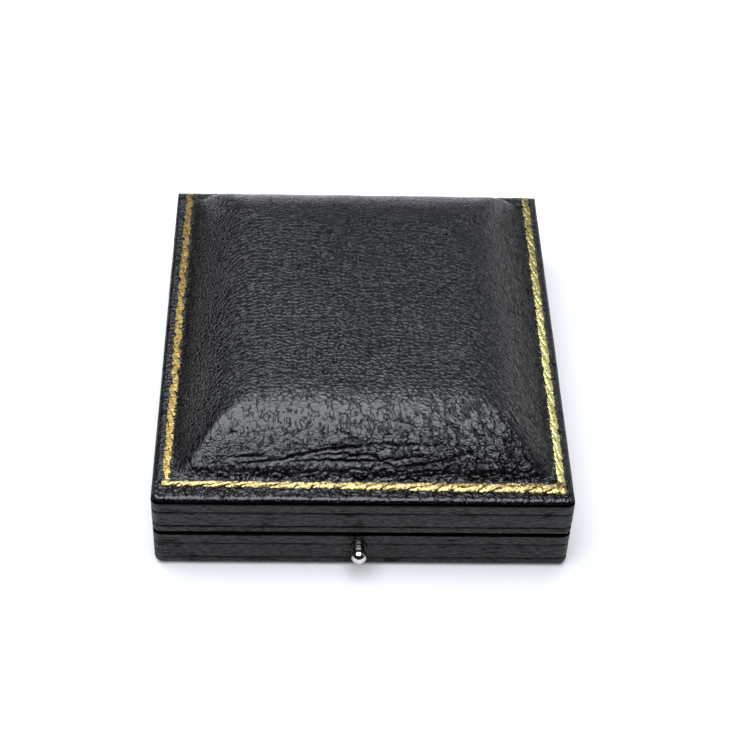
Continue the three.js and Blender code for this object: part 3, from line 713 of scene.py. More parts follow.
@dataclass(frozen=True)
class MetalFinish(Finish):
    """Worked metal with fine scratches and a cloudy tarnish, and on the rims painted shade along the outer
    edge.
    """

    metal: Metal
    scratch_size: float = 0.12
    # The rims' outer edge, which is painted black as the slit's shade.
    shaded_edge: tuple[float, float] | None = None

    @property
    def name(self) -> str:
        """The metal's own name."""
        return self.metal.value[0] + ("_aged" if self.shaded_edge else "")

    def dress(self, board: Board) -> Signal:
        """Colour darkens and roughness grows in the tarnish, and scratches lift the roughness. A rim's outer
        edge is painted black, as the shade of the slit that it lies in.
        """
        color, rough, tarnish = self.metal.value[1:]
        place = board.places()
        clouds = board.noise(place, 2.6, 3.0, 0.6).rise(0.4, 0.72)
        scratches = board.noise(board.stretched(place, 0.05, 1.0, 1.0), self.scratch_size, 2.0)
        dull = tuple(part * 0.45 for part in color)
        shown = board.mixed(clouds * tarnish, color, dull)
        metallic: Signal | float = 1.0
        # Painted shade: the rim's outer edge goes black and unmetallic, for the slit's shade.
        if self.shaded_edge:
            slit_shade = self.slit_shade(board, place)
            shown = board.mixed(slit_shade, shown, (0.004, 0.0035, 0.003))
            metallic = 1.0 - slit_shade
        return board.principled({
            "Base Color": shown,
            "Metallic": metallic,
            "Roughness": rough + clouds * (0.3 * tarnish) + scratches * 0.05,
            "Normal": board.bumped(scratches * 0.002 + clouds * 0.004),
        })

    def slit_shade(self, board: Board, place: Signal) -> Signal:
        """Painted shade on a rim's outer edge, between the corners, for the dark slit between lid and base
        that it lies in.

        Args:
            board: The board to build on.
            place: Object coordinates.

        Returns:
            The painted shade, from 0 to 1.
        """
        x = abs(board.part(place, "X")) - self.shaded_edge[0]
        y = abs(board.part(place, "Y")) - self.shaded_edge[1]
        edge = x.at_least(y).rise(-0.12, -0.02)
        corner = x.rise(-1.4, -0.7) * y.rise(-1.4, -0.7)
        return edge * (1.0 - corner)


@dataclass(frozen=True)
class Velvet(Finish):
    """Short cut pile: deep colour, brushed clouds, and a pale sheen where it turns away."""

    name: str = "blue_velvet"
    color: Color = (0.020, 0.014, 0.075)
    brushed: Color = (0.050, 0.038, 0.150)

    def dress(self, board: Board) -> Signal:
        """Brushed patches change the colour, and the pile's tips give a fine bump."""
        place = board.places()
        patches = board.noise(board.shaken(place, 5.0, 4.0), 6.5, 3.0, 0.6).rise(0.4, 0.66)
        tips = board.noise(place, 0.16, 2.0, 0.7)
        return board.principled({
            "Base Color": board.mixed(patches * 0.6 + tips * 0.4, self.color, self.brushed),
            "Roughness": 0.86 + tips * 0.1,
            "Specular IOR Level": 0.2,
            "Sheen Weight": 0.9,
            "Sheen Roughness": 0.38,
            "Sheen Tint": (0.55, 0.5, 0.95, 1.0),
            "Normal": board.bumped(tips * 0.09),
        })


@dataclass(frozen=True)
class Satin(Finish):
    """Cream satin: fine crossing threads, a soft gloss, and slight yellowing."""

    name: str = "cream_satin"
    color: Color = (0.74, 0.67, 0.52)
    aged: Color = (0.62, 0.52, 0.35)
    thread: float = 0.16

    def dress(self, board: Board) -> Signal:
        """The weave is a sine along X times a sine along Y, with the long threads standing higher."""
        place = board.places()
        x, y = (board.part(place, axis) for axis in "XY")
        turns = 2.0 * math.pi / self.thread
        weft = (x * turns).math("SINE")
        warp = (y * (turns / 4.0)).math("SINE")
        slubs = board.noise(board.stretched(place, 0.08, 1.0, 1.0), 0.3, 2.0)
        clouds = board.noise(place, 14.0, 2.0).rise(0.4, 0.8) * 0.45
        return board.principled({
            "Base Color": board.mixed(clouds, self.color, self.aged),
            "Roughness": 0.3 + slubs * 0.14,
            "Sheen Weight": 0.3,
            "Sheen Roughness": 0.3,
            "Normal": board.bumped(weft * 0.004 + warp * 0.003 + slubs * 0.02),
        })


@dataclass(frozen=True)
class Wood(Finish):
    """Pale sawn wood with rings drawn out along X."""

    name: str = "box_wood"
    color: Color = (0.42, 0.26, 0.13)
    dark: Color = (0.27, 0.15, 0.07)

    def dress(self, board: Board) -> Signal:
        """Rings are a sine of the depth shaken by noise, and pores are short dark dashes."""
        place = board.shaken(board.places(), 14.0, 3.0)
        depth = board.part(place, "Z")
        rings = ((depth * 5.2).math("SINE") * 0.5 + 0.5) * 0.7
        pores = board.noise(board.stretched(place, 0.06, 1.0, 1.0), 0.35, 2.0)
        return board.principled({
            "Base Color": board.mixed(rings + pores * 0.3, self.color, self.dark),
            "Roughness": 0.6 + pores * 0.2,
            "Normal": board.bumped(pores * 0.04 + rings * 0.02),
        })


@dataclass(frozen=True)
class Card(Finish):
    """Grey-brown pasteboard with fibres."""

    name: str = "pasteboard"
    color: Color = (0.30, 0.26, 0.20)
    dark: Color = (0.20, 0.17, 0.125)

    def dress(self, board: Board) -> Signal:
        """Fibres are noise drawn out one way, over soft clouds."""
        place = board.places()
        fibres = board.noise(board.stretched(board.shaken(place, 2.0, 2.5), 0.2, 1.0, 1.0), 0.25, 3.0)
        return board.principled({
            "Base Color": board.mixed(fibres.rise(0.4, 0.66), self.color, self.dark),
            "Roughness": 0.82 + fibres * 0.1,
            "Normal": board.bumped(fibres * 0.05),
        })


@dataclass(frozen=True)
class Wadding(Finish):
    """Off-white cotton wadding, matt and fluffy."""

    name: str = "cotton_wadding"
    color: Color = (0.62, 0.58, 0.50)
    dark: Color = (0.48, 0.44, 0.37)

    def dress(self, board: Board) -> Signal:
        """Tufts are noise of two sizes."""
        place = board.places()
        tufts = board.noise(place, 1.8, 4.0, 0.65)
        return board.principled({
            "Base Color": board.mixed(tufts.rise(0.35, 0.65), self.dark, self.color),
            "Roughness": 0.9 + tufts * 0.08,
            "Sheen Weight": 0.4,
            "Normal": board.bumped(tufts * 0.5),
        })


@dataclass(frozen=True)
class BookCloth(Finish):
    """Black paper-backed cloth under the base, with a fine plain weave."""

    name: str = "black_book_cloth"
    color: Color = (0.012, 0.012, 0.013)
    worn: Color = (0.035, 0.034, 0.033)
    thread: float = 0.35

    def dress(self, board: Board) -> Signal:
        """The weave is a sine along X times a sine along Y, worn pale in places."""
        place = board.places()
        x, y = (board.part(place, axis) for axis in "XY")
        turns = 2.0 * math.pi / self.thread
        weave = (x * turns).math("SINE") * (y * turns).math("SINE")
        rubbed = board.noise(place, 4.0, 3.0, 0.6).rise(0.52, 0.74)
        return board.principled({
            "Base Color": board.mixed(rubbed * 0.7, self.color, self.worn),
            "Roughness": 0.62 - rubbed * 0.12,
            "Normal": board.bumped(weave * 0.02),
        })


LEATHER = Leather()
GOLD = GoldLeaf()
BRASS = MetalFinish(Metal.BRASS)
RIM_EDGE = (41.2, 48.2)
RIM_BRASS = MetalFinish(Metal.BRASS, shaded_edge=RIM_EDGE)
NICKEL = MetalFinish(Metal.NICKEL)
STEEL = MetalFinish(Metal.STEEL)
VELVET = Velvet()
SATIN = Satin()
WOOD = Wood()
CARD = Card()
WADDING = Wadding()
BOOK_CLOTH = BookCloth()


# ---- the box's outline


@dataclass(frozen=True)
class Outline:
    """The rounded rectangle that the leather follows, and the sizes shared by lid and base."""

    half_width: float = 42.0
    half_depth: float = 49.0
    corner: float = 1.8
    least_corner: float = 0.3
    seam: float = 9.7
    leather: float = 0.8
    lip: float = 0.42
    hinge_y: float = 47.9
    hinge_room: float = 1.3
    hinge_centre: float = 24.0
    hinge_reach: float = 7.8
    bevel: float = math.tan(math.radians(52.0))

    def rounded(self, x: Array, y: Array) -> tuple[Array, Array]:
        """Square corners made round.

        Beyond the corner's centre a point keeps its direction from it, and its distance is the larger of
        its two distances.

        Args:
            x: Places across.
            y: Places towards the hinge.

        Returns:
            The places moved, across and towards the hinge.
        """
        core_x, core_y = self.half_width - self.corner, self.half_depth - self.corner
        over_x, over_y = np.maximum(np.abs(x) - core_x, 0.0), np.maximum(np.abs(y) - core_y, 0.0)
        away = np.hypot(over_x, over_y)
        scale = np.where(away > 0.0, np.maximum(over_x, over_y) / np.maximum(away, 1e-9), 1.0)
        return (np.sign(x) * (np.minimum(np.abs(x), core_x) + over_x * scale),
                np.sign(y) * (np.minimum(np.abs(y), core_y) + over_y * scale))

    def loop(self, lines_x: Array, lines_y: Array) -> tuple[Array, Array]:
        """The border of a grid of lines, as what a ring is made from.

        Args:
            lines_x: The grid's places along X, past the corners' centres at both ends.
            lines_y: The same along Y.

        Returns:
            Each border point's share of the core rectangle, and the way outwards there.
        """
        x, y = (rim_of(places) for places in np.meshgrid(lines_x, lines_y))
        core = np.array([self.half_width - self.corner, self.half_depth - self.corner])
        border = np.stack(self.rounded(x, y), axis=-1)
        held = np.clip(border, -core, core)
        way = border - held
        return held / core, way / np.linalg.norm(way, axis=-1, keepdims=True)

    def ring(self, share: Array, way: Array, inset: float | Array) -> Array:
        """Points round the box: the core rectangle's point plus the way outwards times the radius.

        Args:
            share: Each point's share of the core rectangle.
            way: The way outwards there.
            inset: How far in from the walls' planes.

        Returns:
            Points (x, y).
        """
        inset = np.broadcast_to(inset, share.shape[:1])[:, None]
        radius = np.maximum(self.corner - inset, self.least_corner)
        half = np.array([self.half_width, self.half_depth])
        return share * (half - inset - radius) + way * radius

    def bevel_rise(self, y: Array) -> Array:
        """How far the bevel keeps the leather from the seam: its slope times the way behind the hinge."""
        return np.maximum(y - self.hinge_y, 0.0) * self.bevel

    def seam_rise(self, x: Array, y: Array) -> Array:
        """The bevel's rise, and beside a hinge at least the height of a circle round its axis."""
        beside = np.abs(np.abs(x) - self.hinge_centre) < self.hinge_reach
        circle = np.sqrt(np.maximum(self.hinge_room**2 - (y - self.hinge_y) ** 2, 0.0))
        return np.maximum(self.bevel_rise(y), np.where(beside & (y > 0.0), circle, 0.0))


OUTLINE = Outline()
Profile = list[tuple[float, float]]
# The channel for creases also carries painted shade: in grooves, creases, torn gaps, under the lid's top edge
# and over the lips.
LEATHER_CHANNELS = {"flow": 3, "side": 1, "crease": 1, "pucker": 1, "comb": 1, "crackle": 1}


@dataclass
class LidLeather:
    """The lid's leather in one skin: padded crown, ledge, edge and walls, with its turned-in lip."""

    outline: Outline = OUTLINE
    top: float = 19.5
    bottom: float = 10.0
    edge: float = 1.2
    back_edge: float = 3.7
    side_inset: float = 4.0
    end_inset: float = 5.0
    rise: float = 8.9
    run: float = 18.0
    swell: float = 0.4
    side_climb: float = 0.9
    front_climb: float = 0.74
    hip: int = 6
    hold: int = 8
    foot: float = 0.8
    foot_start: float = 0.3
    front_foot: float = 1.5
    front_power: int = 3
    front_slope: float = 0.4
    slope_band: tuple[float, float] = (3.0, 0.6)
    slope_fade: tuple[float, float] = (-2.0, -36.0)
    skin: float = 1.0
    hollow_floor: float = 18.7
    hollow_levels: tuple[float, ...] = (12.0, 15.5)
    hollow_insets: tuple[float, ...] = (1.2, 2.0, 3.8)
    spacing: float = 0.3
    ledge_spacing: float = 0.2
    foot_band: tuple[float, float] = (5.3, 0.5)
    foot_lines: int = 39
    coarse: int = 8
    grooves: tuple[float, ...] = (15.8, 11.85)
    rim_line: float = 18.5
    crown_band: tuple[float, float] = (0.1, 1.6)
    crease_width: float = 0.2
    crease_sunk: float = 0.28
    creases: tuple[tuple[float, tuple[tuple[float, float], ...]], ...] = (
        (1, ((-30.1, -42), (-25.7, -41.9), (-24, -41.3), (-19.1, -41.1), (-14.2, -40.3), (-11.3, -39.8),
           (-6.6, -39), (-1, -38.8), (2.7, -38.3), (7.3, -38.4), (10, -38.2), (13.5, -38.6), (16.5, -38.5))),
        (0.95, ((-9.5, -40), (-3.7, -39.8), (-2.8, -40.2), (0.9, -39.8), (6.2, -41.8), (9.6, -41.6),
           (12.8, -41.4), (15.7, -40.7), (18.7, -40), (19.9, -39.7))),
        (0.9, ((-15.3, -41.3), (-8.1, -40.7), (-3.7, -41), (1.8, -40.9), (4.5, -40.5), (8.8, -40.4),
           (11.8, -40.2))),
        (0.85, ((-0.9, -42.9), (4.2, -42.2), (10, -41.7), (14.3, -41.5), (17, -40.8), (19.2, -40.2),
           (22.5, -39.3))),
        (0.75, ((7.3, -43), (12.5, -42.3), (18.6, -42.2), (23.4, -41.4))),
        (0.8, ((21.7, -43.5), (24.5, -42.6), (26.7, -42))),
        (0.7, ((27.9, -43.4), (30.1, -42.9), (32.1, -42.4))),
        (0.7, ((-26.9, -40.4), (-23.5, -40.3), (-19.4, -40.4))),
        (0.7, ((32.7, -42.9), (30.5, -40.9), (28.5, -39))),
        (0.6, ((35, -42.1), (33.1, -40.4), (31.4, -38.4))),
        (0.6, ((30.3, -43.3), (28.5, -41.8), (27.1, -40.1))),
        (0.5, ((11.8, -1.8), (15.9, 3.2), (21.4, 8.4), (24.3, 12.4), (28, 15.3))),
        (0.4, ((5.6, -2.4), (10.5, -0.4), (20.4, 1.9), (27.4, 6.9))),
    )
    lines: tuple[Array, Array] = field(init=False)

    def __post_init__(self) -> None:
        """Works out the grid's lines."""
        outline = self.outline
        self.lines = (self.spread(outline.half_width, self.side_inset),
                      self.spread(outline.half_depth, self.end_inset))

    def spread(self, half: float, inset: float) -> Array:
        """Places of the grid's lines from side to side, closer together at the crown's foot.

        Args:
            half: Half the box's size that way.
            inset: How far in the crown's foot lies.

        Returns:
            The places, from minus to plus.
        """
        core, reach = half - self.outline.corner, half - inset
        inside, outside = self.foot_band
        rim = np.linspace(core, core + self.outline.corner - self.edge, 4)[1:]
        ledge = np.linspace(reach + outside, core, int((core - reach) / self.ledge_spacing))[1:]
        foot = np.linspace(reach - inside, reach + outside, self.foot_lines)[::-1]
        count = int(round(foot[-1] / self.spacing))
        count += -(count + len(foot) - 1 + len(ledge) + len(rim)) % (self.coarse // 2)
        middle = np.linspace(0.0, foot[-1], count + 1)[:-1]
        side = np.concatenate([middle, foot[::-1], ledge, rim])
        return np.concatenate([-side[:0:-1], side])

    def crown(self, x: Array, y: Array, growth: float = 0.0, foot: float = 0.0) -> Array:
        """Height of the crown over its base.

        g(s) is a quarter circle's rise over the run, for s from the foot inwards. The height is rise G +
        swell (1 - (x / X) squared) (1 - (y / Y) squared), where G joins g(sx) and g(sy) as
        1 - ((1 - a)^h + (1 - b)^h)^(1/h), with h the hip. Except at the back g is kept under
        climb s / rise: the two are joined as (a^-k + b^-k)^(-1/k), with k the hold. A soft foot f changes
        s to s^(p + 1) / (s^p + f^p), with s from a little outside: p is 1 and f the foot, and at the front
        p is the front power and f the front foot times the foot.

        Args:
            x: Places across.
            y: Places towards the hinge.
            growth: How much smaller the crown's plan is on every side.
            foot: How soft its foot is.

        Returns:
            One height for each place.
        """
        reach_x = self.outline.half_width - self.side_inset - growth
        reach_y = self.outline.half_depth - self.end_inset - growth

        def inwards(distance: Array, soft: float, power: int) -> Array:
            """The distance from the foot with the foot made soft."""
            shifted = np.maximum(distance + self.foot_start * soft, 0.0)
            return shifted ** (power + 1) / np.maximum(shifted**power + soft**power, 1e-9)

        def held(distance: Array, climb: float) -> Array:
            """The same, kept under a straight climb."""
            straight = np.maximum(climb * distance / self.rise, 1e-4)
            round_rise = np.maximum(dome(distance, self.run), 1e-4)
            return (round_rise**-self.hold + straight**-self.hold) ** (-1.0 / self.hold)

        end = reach_y - np.abs(y)
        front = held(inwards(end, self.front_foot * foot, self.front_power), self.front_climb)
        back = dome(inwards(end, foot, 1), self.run)
        sides = held(inwards(reach_x - np.abs(x), foot, 1), self.side_climb)
        apart = (1.0 - sides) ** self.hip + (1.0 - np.where(y < 0.0, front, back)) ** self.hip
        risen = self.rise * np.maximum(1.0 - apart ** (1.0 / self.hip), 0.0)
        inside = np.clip(1.0 - (x / reach_x) ** 2, 0.0, 1.0) * np.clip(1.0 - (y / reach_y) ** 2, 0.0, 1.0)
        return risen + self.swell * inside

    def back_drop(self, y: Array, depth: float = 0.0) -> Array:
        """How far the rounded back edge lies under the ledge: a quarter round, or one a depth inside it."""
        radius = self.back_edge - depth
        over = np.clip(y - (self.outline.half_depth - self.back_edge), 0.0, radius)
        return radius - np.sqrt(radius**2 - over**2)

    def face(self, x: Array, y: Array) -> Array:
        """Height of the smooth leather over the table: the ledge, its slopes and the crown.

        The ledge's front rises by the front slope to the crown's foot, and its back edge is rounded.

        Args:
            x: Places across.
            y: Places towards the hinge.

        Returns:
            One height for each place.
        """
        reach = self.outline.half_depth - self.end_inset
        outside, inside = self.slope_band
        slope = self.front_slope * ease(-reach - outside, -reach + inside, -np.abs(y))
        slope = slope * ease(*self.slope_fade, y)
        sides = ease(self.outline.half_width, self.outline.half_width - self.side_inset, np.abs(x))
        return self.top + slope * sides - self.back_drop(y) + self.crown(x, y, 0.0, self.foot)

    def long_creases(self, x: Array, y: Array) -> Array:
        """Depth of the long folds: a bell round each wavering line, which fades at its ends.

        Args:
            x: Places across.
            y: Places towards the hinge.

        Returns:
            A depth from 0 to 1 for each place.
        """
        depth = np.zeros_like(x)
        waver = 0.22 * Ripple(31, 2.2).at(x, y) + 0.1 * Ripple(32, 0.8).at(x, y)
        for strength, line in self.creases:
            away, share = from_line(line, x, y + waver)
            ends = np.sin(np.pi * np.clip(share, 0.02, 0.98)) ** 0.4
            depth = np.maximum(depth, 0.9 * strength * bell(away, self.crease_width) * ends)
        return depth

    def unrolled(self, places: Array, axis: int) -> Array:
        """Length over the crown's middle section, as the sum of its chords.

        Args:
            places: The grid's lines.
            axis: 0 for the section across, 1 for the one towards the hinge.

        Returns:
            The length from the centre to each place.
        """
        zero = np.zeros_like(places)
        x, y = (zero, places) if axis else (places, zero)
        length = length_along(np.stack([places, self.crown(x, y, 0.0, self.foot)], axis=1))
        return length - np.interp(0.0, places, length)

    def flow(self, x: Array, y: Array) -> Array:
        """Places on the leather laid flat, which its grain follows: lengths over the crown, on a slant.

        Args:
            x: Places across.
            y: Places towards the hinge.

        Returns:
            Points (x, y, 0), one for each place.
        """
        slant = 0.5 * ease(-22.0, 48.0, x)
        across = self.unrolled(self.lines[0], 0)[None, :] + slant * (y + 6.0)
        along = np.broadcast_to(self.unrolled(self.lines[1], 1)[:, None], y.shape)
        return np.stack([across, along, np.zeros_like(x)], axis=-1)

    def puckered(self, x: Array, y: Array, on_crown: Array) -> Array:
        """How puckered the leather is: most low on the front slope and along the front ledge.

        Args:
            x: Places across.
            y: Places towards the hinge.
            on_crown: 1 on the crown and 0 on the ledge.

        Returns:
            A share from 0 to 1 for each place.
        """
        front = (0.55 * ease(-27.0, -38.0, y) + 0.45 * ease(-40.3, -43.0, y)) * on_crown
        pucker = 0.3 + 0.62 * front + 0.1 * ease(0.0, -26.0, y) - 0.2 * ease(24.0, 42.0, y)
        pucker = pucker - 0.14 * ease(-28.0, -36.0, x) * (1.0 - front)
        return np.clip(pucker + 0.7 * (1.0 - on_crown) * ease(-40.0, -45.0, y), 0.0, 1.0)

    def combed(self, x: Array, y: Array, on_crown: Array) -> Array:
        """How far the grain is drawn into ridges, from 0 to 1: on the right of the front slope."""
        comb = ease(0.0, 22.0, x) * ease(-22.0, -34.0, y) * ease(33.0, 26.0, x) + 0.3 * ease(26.0, 34.0, x)
        return comb * on_crown

    def relief(self, x: Array, y: Array, flow: Array, crown: Array, pucker: Array) -> tuple[Array, Array]:
        """How far the leather stands off its smooth face.

        Three waves of noise, less the walls of large cells where it folds, plus round lumps, the square
        root of the way from the walls of small cells, where it is torn, less the creases. On the ledge
        finer noise, and a low bead near its rim, are added.

        Args:
            x: Places across.
            y: Places towards the hinge.
            flow: The same places on the leather laid flat.
            crown: The crown's height there.
            pucker: How puckered it is.

        Returns:
            The height in millimetres, and the depth of the creases and torn gaps from 0 to 1, which also
            paints shade in them.
        """
        on_crown = ease(*self.crown_band, crown)
        flow_x, flow_y = flow[..., 0], flow[..., 1]
        gaps = Cells(15, 1.5).walls(flow_x + 0.5 * Ripple(16, 1.4).at(x, y), 0.8 * flow_y)
        burst = ease(0.76, 0.98, pucker)
        torn = burst * (0.8 + 0.2 * on_crown) * bell(gaps, 0.13)
        # The creases and torn gaps sink the leather, and the same numbers paint shade in them.
        crease = np.maximum(self.long_creases(x, y) * on_crown, 0.95 * torn)
        folds = Cells(5, 2.7).walls(
            flow_x + 0.8 * Ripple(6, 2.4).at(x, y), 0.62 * flow_y + 0.6 * Ripple(7, 3.0).at(x, y))
        puckers = np.clip(Ripple(8, 7.0).at(x, y) + 0.45, 0.0, 1.0) * pucker
        height = (
            0.07 * Ripple(1, 9.0).at(x, y) * on_crown
            + 0.05 * Ripple(2, 2.1).at(flow_x, flow_y * 0.8) * (0.15 + pucker)
            + 0.03 * Ripple(3, 1.1).at(flow_x, flow_y * 1.2) * (0.3 + pucker)
            - 0.06 * bell(folds, 0.22) * puckers * on_crown
            + 0.26 * (burst * on_crown) * np.sqrt(np.clip(gaps / 0.4, 0.0, 1.0))
            - self.crease_sunk * crease
        )
        ledge = 1.0 - ease(0.0, 0.6, crown)
        bead = 0.05 * bell(self.inset(x, y) - 1.5, 0.5)
        height = height + ledge * (0.05 * Ripple(11, 1.3).at(x, y) + 0.03 * Ripple(12, 0.7).at(x, y) + bead)
        return height, crease

    def inset(self, x: Array, y: Array) -> Array:
        """Distance from the nearer wall's plane."""
        return np.minimum(self.outline.half_width - np.abs(x), self.outline.half_depth - np.abs(y))

    def make(self) -> bpy.types.Object:
        """Returns:
            The piece.
        """
        x, y = self.outline.rounded(*np.meshgrid(*self.lines))
        crown = self.crown(x, y, 0.0, self.foot)
        on_crown = ease(*self.crown_band, crown)
        flow, pucker = self.flow(x, y), self.puckered(x, y, on_crown)
        height, crease = self.relief(x, y, flow, crown, pucker)
        points = np.stack([x, y, self.face(x, y)], axis=-1)
        points = points + normals_of(points) * (height * ease(0.9, 1.4, self.inset(x, y)))[..., None]
        points[..., 0] += 0.1 * Ripple(21, 13.0).at(x, y)
        points[..., 1] += 0.1 * Ripple(22, 13.0).at(x, y)
        shape = Shape(**LEATHER_CHANNELS)
        grid = shape.add(points, flow=flow, crease=crease, pucker=pucker, comb=self.combed(x, y, on_crown),
                         crackle=ease(-32.0, 8.0, x + 5.0 * Ripple(17, 12.0).at(x, y)))
        shape.quads(grid)

        share, way = self.outline.loop(*self.lines)
        rings = self.walls(shape, share, way, rim_of(flow))
        shape.quads(closed(np.vstack([rim_of(grid)[None], rings]), 1))
        self.hollow(shape, rings[-1])
        lid = shape.piece("lid_leather", LEATHER.material())
        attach(lid, "lid")
        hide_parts("lid_cover")
        return lid

    def profile(self) -> tuple[Profile, Profile, Profile]:
        """Inset and height of each ring under the top, with more of them beside the grooves.

        Returns:
            The rings round the edge, down the wall, and round the lip and up inside.
        """
        lip = self.outline.lip
        turn = np.linspace(0.0, math.pi / 2.0, 7)[1:]
        edge = [(self.edge * (1.0 - math.sin(a)), self.top - self.edge * (1.0 - math.cos(a))) for a in turn]
        levels = np.linspace(self.top - self.edge, self.bottom + lip, 28)[1:]
        near = np.concatenate([height + np.array([-0.3, -0.12, 0.12, 0.3]) for height in self.grooves])
        levels = np.unique(np.round(np.concatenate([levels, near]), 3))[::-1]
        inner = [(lip * (1.0 - math.cos(a)), self.bottom + lip * (1.0 - math.sin(a))) for a in turn[1::2]]
        inner += [(self.outline.leather, level)
                  for level in (self.bottom, *self.hollow_levels, self.hollow_floor)]
        inner += [(inset, self.hollow_floor) for inset in self.hollow_insets]
        return edge, [(0.0, level) for level in levels], inner

    def walls(self, shape: Shape, share: Array, way: Array, flat: Array) -> Array:
        """Rings from the top's border round the edge, down the walls, round the lip and up inside.

        Args:
            shape: Where the points go.
            share: The border's shares of the core rectangle.
            way: The ways outwards.
            flat: The border's flow, which the edge carries on.

        Returns:
            The rings' indices, the outermost first.
        """
        outline = self.outline
        edge, wall, inner = self.profile()
        first = outline.ring(share, way, 0.0)
        around = length_along(first)
        lowest = np.maximum(self.bottom, outline.seam + outline.bevel_rise(first[:, 1]))
        highest = np.minimum(self.top - self.edge, self.top - self.back_drop(first[:, 1]))
        squeeze = (highest - lowest) / (self.top - self.edge - self.bottom)
        made = []
        for number, (inset, level) in enumerate(edge + wall + inner):
            outside = number < len(edge) + len(wall)
            height = np.full(len(share), level)
            if outside and level < self.top - self.edge:
                height = highest - (self.top - self.edge - level) * squeeze
            depth = np.full(len(share), inset)
            if outside:
                depth = depth + side_relief(around, height, self.grooves, 41)
                depth = depth + 0.12 * bell(height - self.rim_line, 0.35)
            place = outline.ring(share, way, depth)
            if number < len(edge):
                height = np.minimum(height, self.top - self.back_drop(outline.ring(share, way, inset)[:, 1]))
            if not outside and level < self.hollow_levels[0]:
                height = np.maximum(height, outline.seam + outline.seam_rise(place[:, 0], place[:, 1]))
            if not outside:
                height = np.minimum(height, self.hollow_floor - self.back_drop(place[:, 1], outline.leather))
            side = ease(self.top - 0.35, self.top - 0.9, height + ease(45.0, 47.5, place[:, 1]))
            drop = np.full(len(share), self.top - level)
            flow = flat + np.concatenate([way * drop[:, None], np.zeros((len(share), 1))], axis=1)
            # Painted shade: in the tooled grooves, in a wide dark band round the rim line under the top edge,
            # and black over the whole lip and inside, which lie in the slit's shade.
            shade = np.maximum(groove_shade(around, height, self.grooves, 51),
                               1.2 * bell(height - self.rim_line, 0.55))
            made.append(shape.add(raised(place, height), flow=flow, side=side, pucker=0.6,
                                  crease=shade if outside else 1.0))
        return np.array(made)

    def hollow(self, shape: Shape, ring: Array) -> None:
        """Closes the inside with a coarse dome a skin's thickness under the crown.

        Args:
            shape: Where the points go.
            ring: Indices of the last ring inside the walls.
        """
        half = (self.outline.half_width - self.side_inset - self.skin,
                self.outline.half_depth - self.end_inset - self.skin)
        lines = (line[:: self.coarse] * reach / line[-1] for line, reach in zip(self.lines, half))
        x, y = np.meshgrid(*lines)
        vault = shape.add(np.stack([x, y, self.hollow_floor + self.crown(x, y, self.skin)], axis=-1))
        shape.quads(vault)
        border = rim_of(vault)
        fine = closed(ring[None], 1)[0]
        steps = np.arange(len(border))[:, None] * self.coarse + np.arange(self.coarse + 1)
        shape.polygons(np.concatenate([fine[steps], np.roll(border, -1)[:, None], border[:, None]], axis=1))


def side_relief(around: Array, height: Array, grooves: Sequence[float], seed: int) -> Array:
    """How far a wall's leather lies in from its plane: tooled grooves, level grain and slow waves.

    A groove is a bell over the height. The grain is noise drawn out along the wall.

    Args:
        around: Length round the box of each point.
        height: Its height.
        grooves: The grooves' heights.
        seed: Seed of the first noise.

    Returns:
        Depths in millimetres.
    """
    length = around[-1]
    depth = np.zeros_like(height)
    for groove in grooves:
        wander = 0.09 * Ripple(seed + 3, length / 40.0, 40).at(around, height * 0.0)
        worn = 0.75 + 0.4 * Ripple(seed + 4, length / 60.0, 60).at(around, height * 0.0 + groove)
        depth = depth + 0.22 * worn * bell(height - groove - wander, 0.22)
    for step, (size, tall, deep) in enumerate(((7.0, 0.55, 0.03), (3.0, 0.3, 0.018))):
        count = int(round(length / size))
        grain = Ripple(seed + step, length / count, count).at(around, height * (length / count) / tall)
        depth = depth + deep * grain
    return depth + 0.05 * Ripple(seed + 7, length / 18.0, 18).at(around, height * 2.0)


def groove_shade(around: Array, height: Array, grooves: Sequence[float], seed: int) -> Array:
    """Depth of painted shade in the tooled grooves, from 0 to 1: a bell over the height, weaker in places.

    It takes what side_relief takes, with a seed of its own.
    """
    shade = np.zeros_like(height)
    length = around[-1]
    for groove in grooves:
        worn = 0.95 + 0.5 * Ripple(seed, length / 90.0, 90).at(around, height * 0.0 + groove)
        shade = np.maximum(shade, np.clip(worn, 0.0, 0.98) * bell(height - groove, 0.24))
    return shade


@dataclass(frozen=True)
class Stretch:
    """One straight stretch of the gold line in plan, with the way to the crown and its own noise.

    Along it the width goes up by the flare. Tilt is its slope up towards the crown, and the last number
    how dark it is painted on that side, as dirt and as shade.
    """

    start: tuple[float, float]
    end: tuple[float, float]
    inwards: tuple[float, float]
    seed: int
    width: float = 1.5
    crest: float = 0.09
    flare: float = 0.0
    tilt: float = 0.0
    dirt_and_shade: float = 0.0


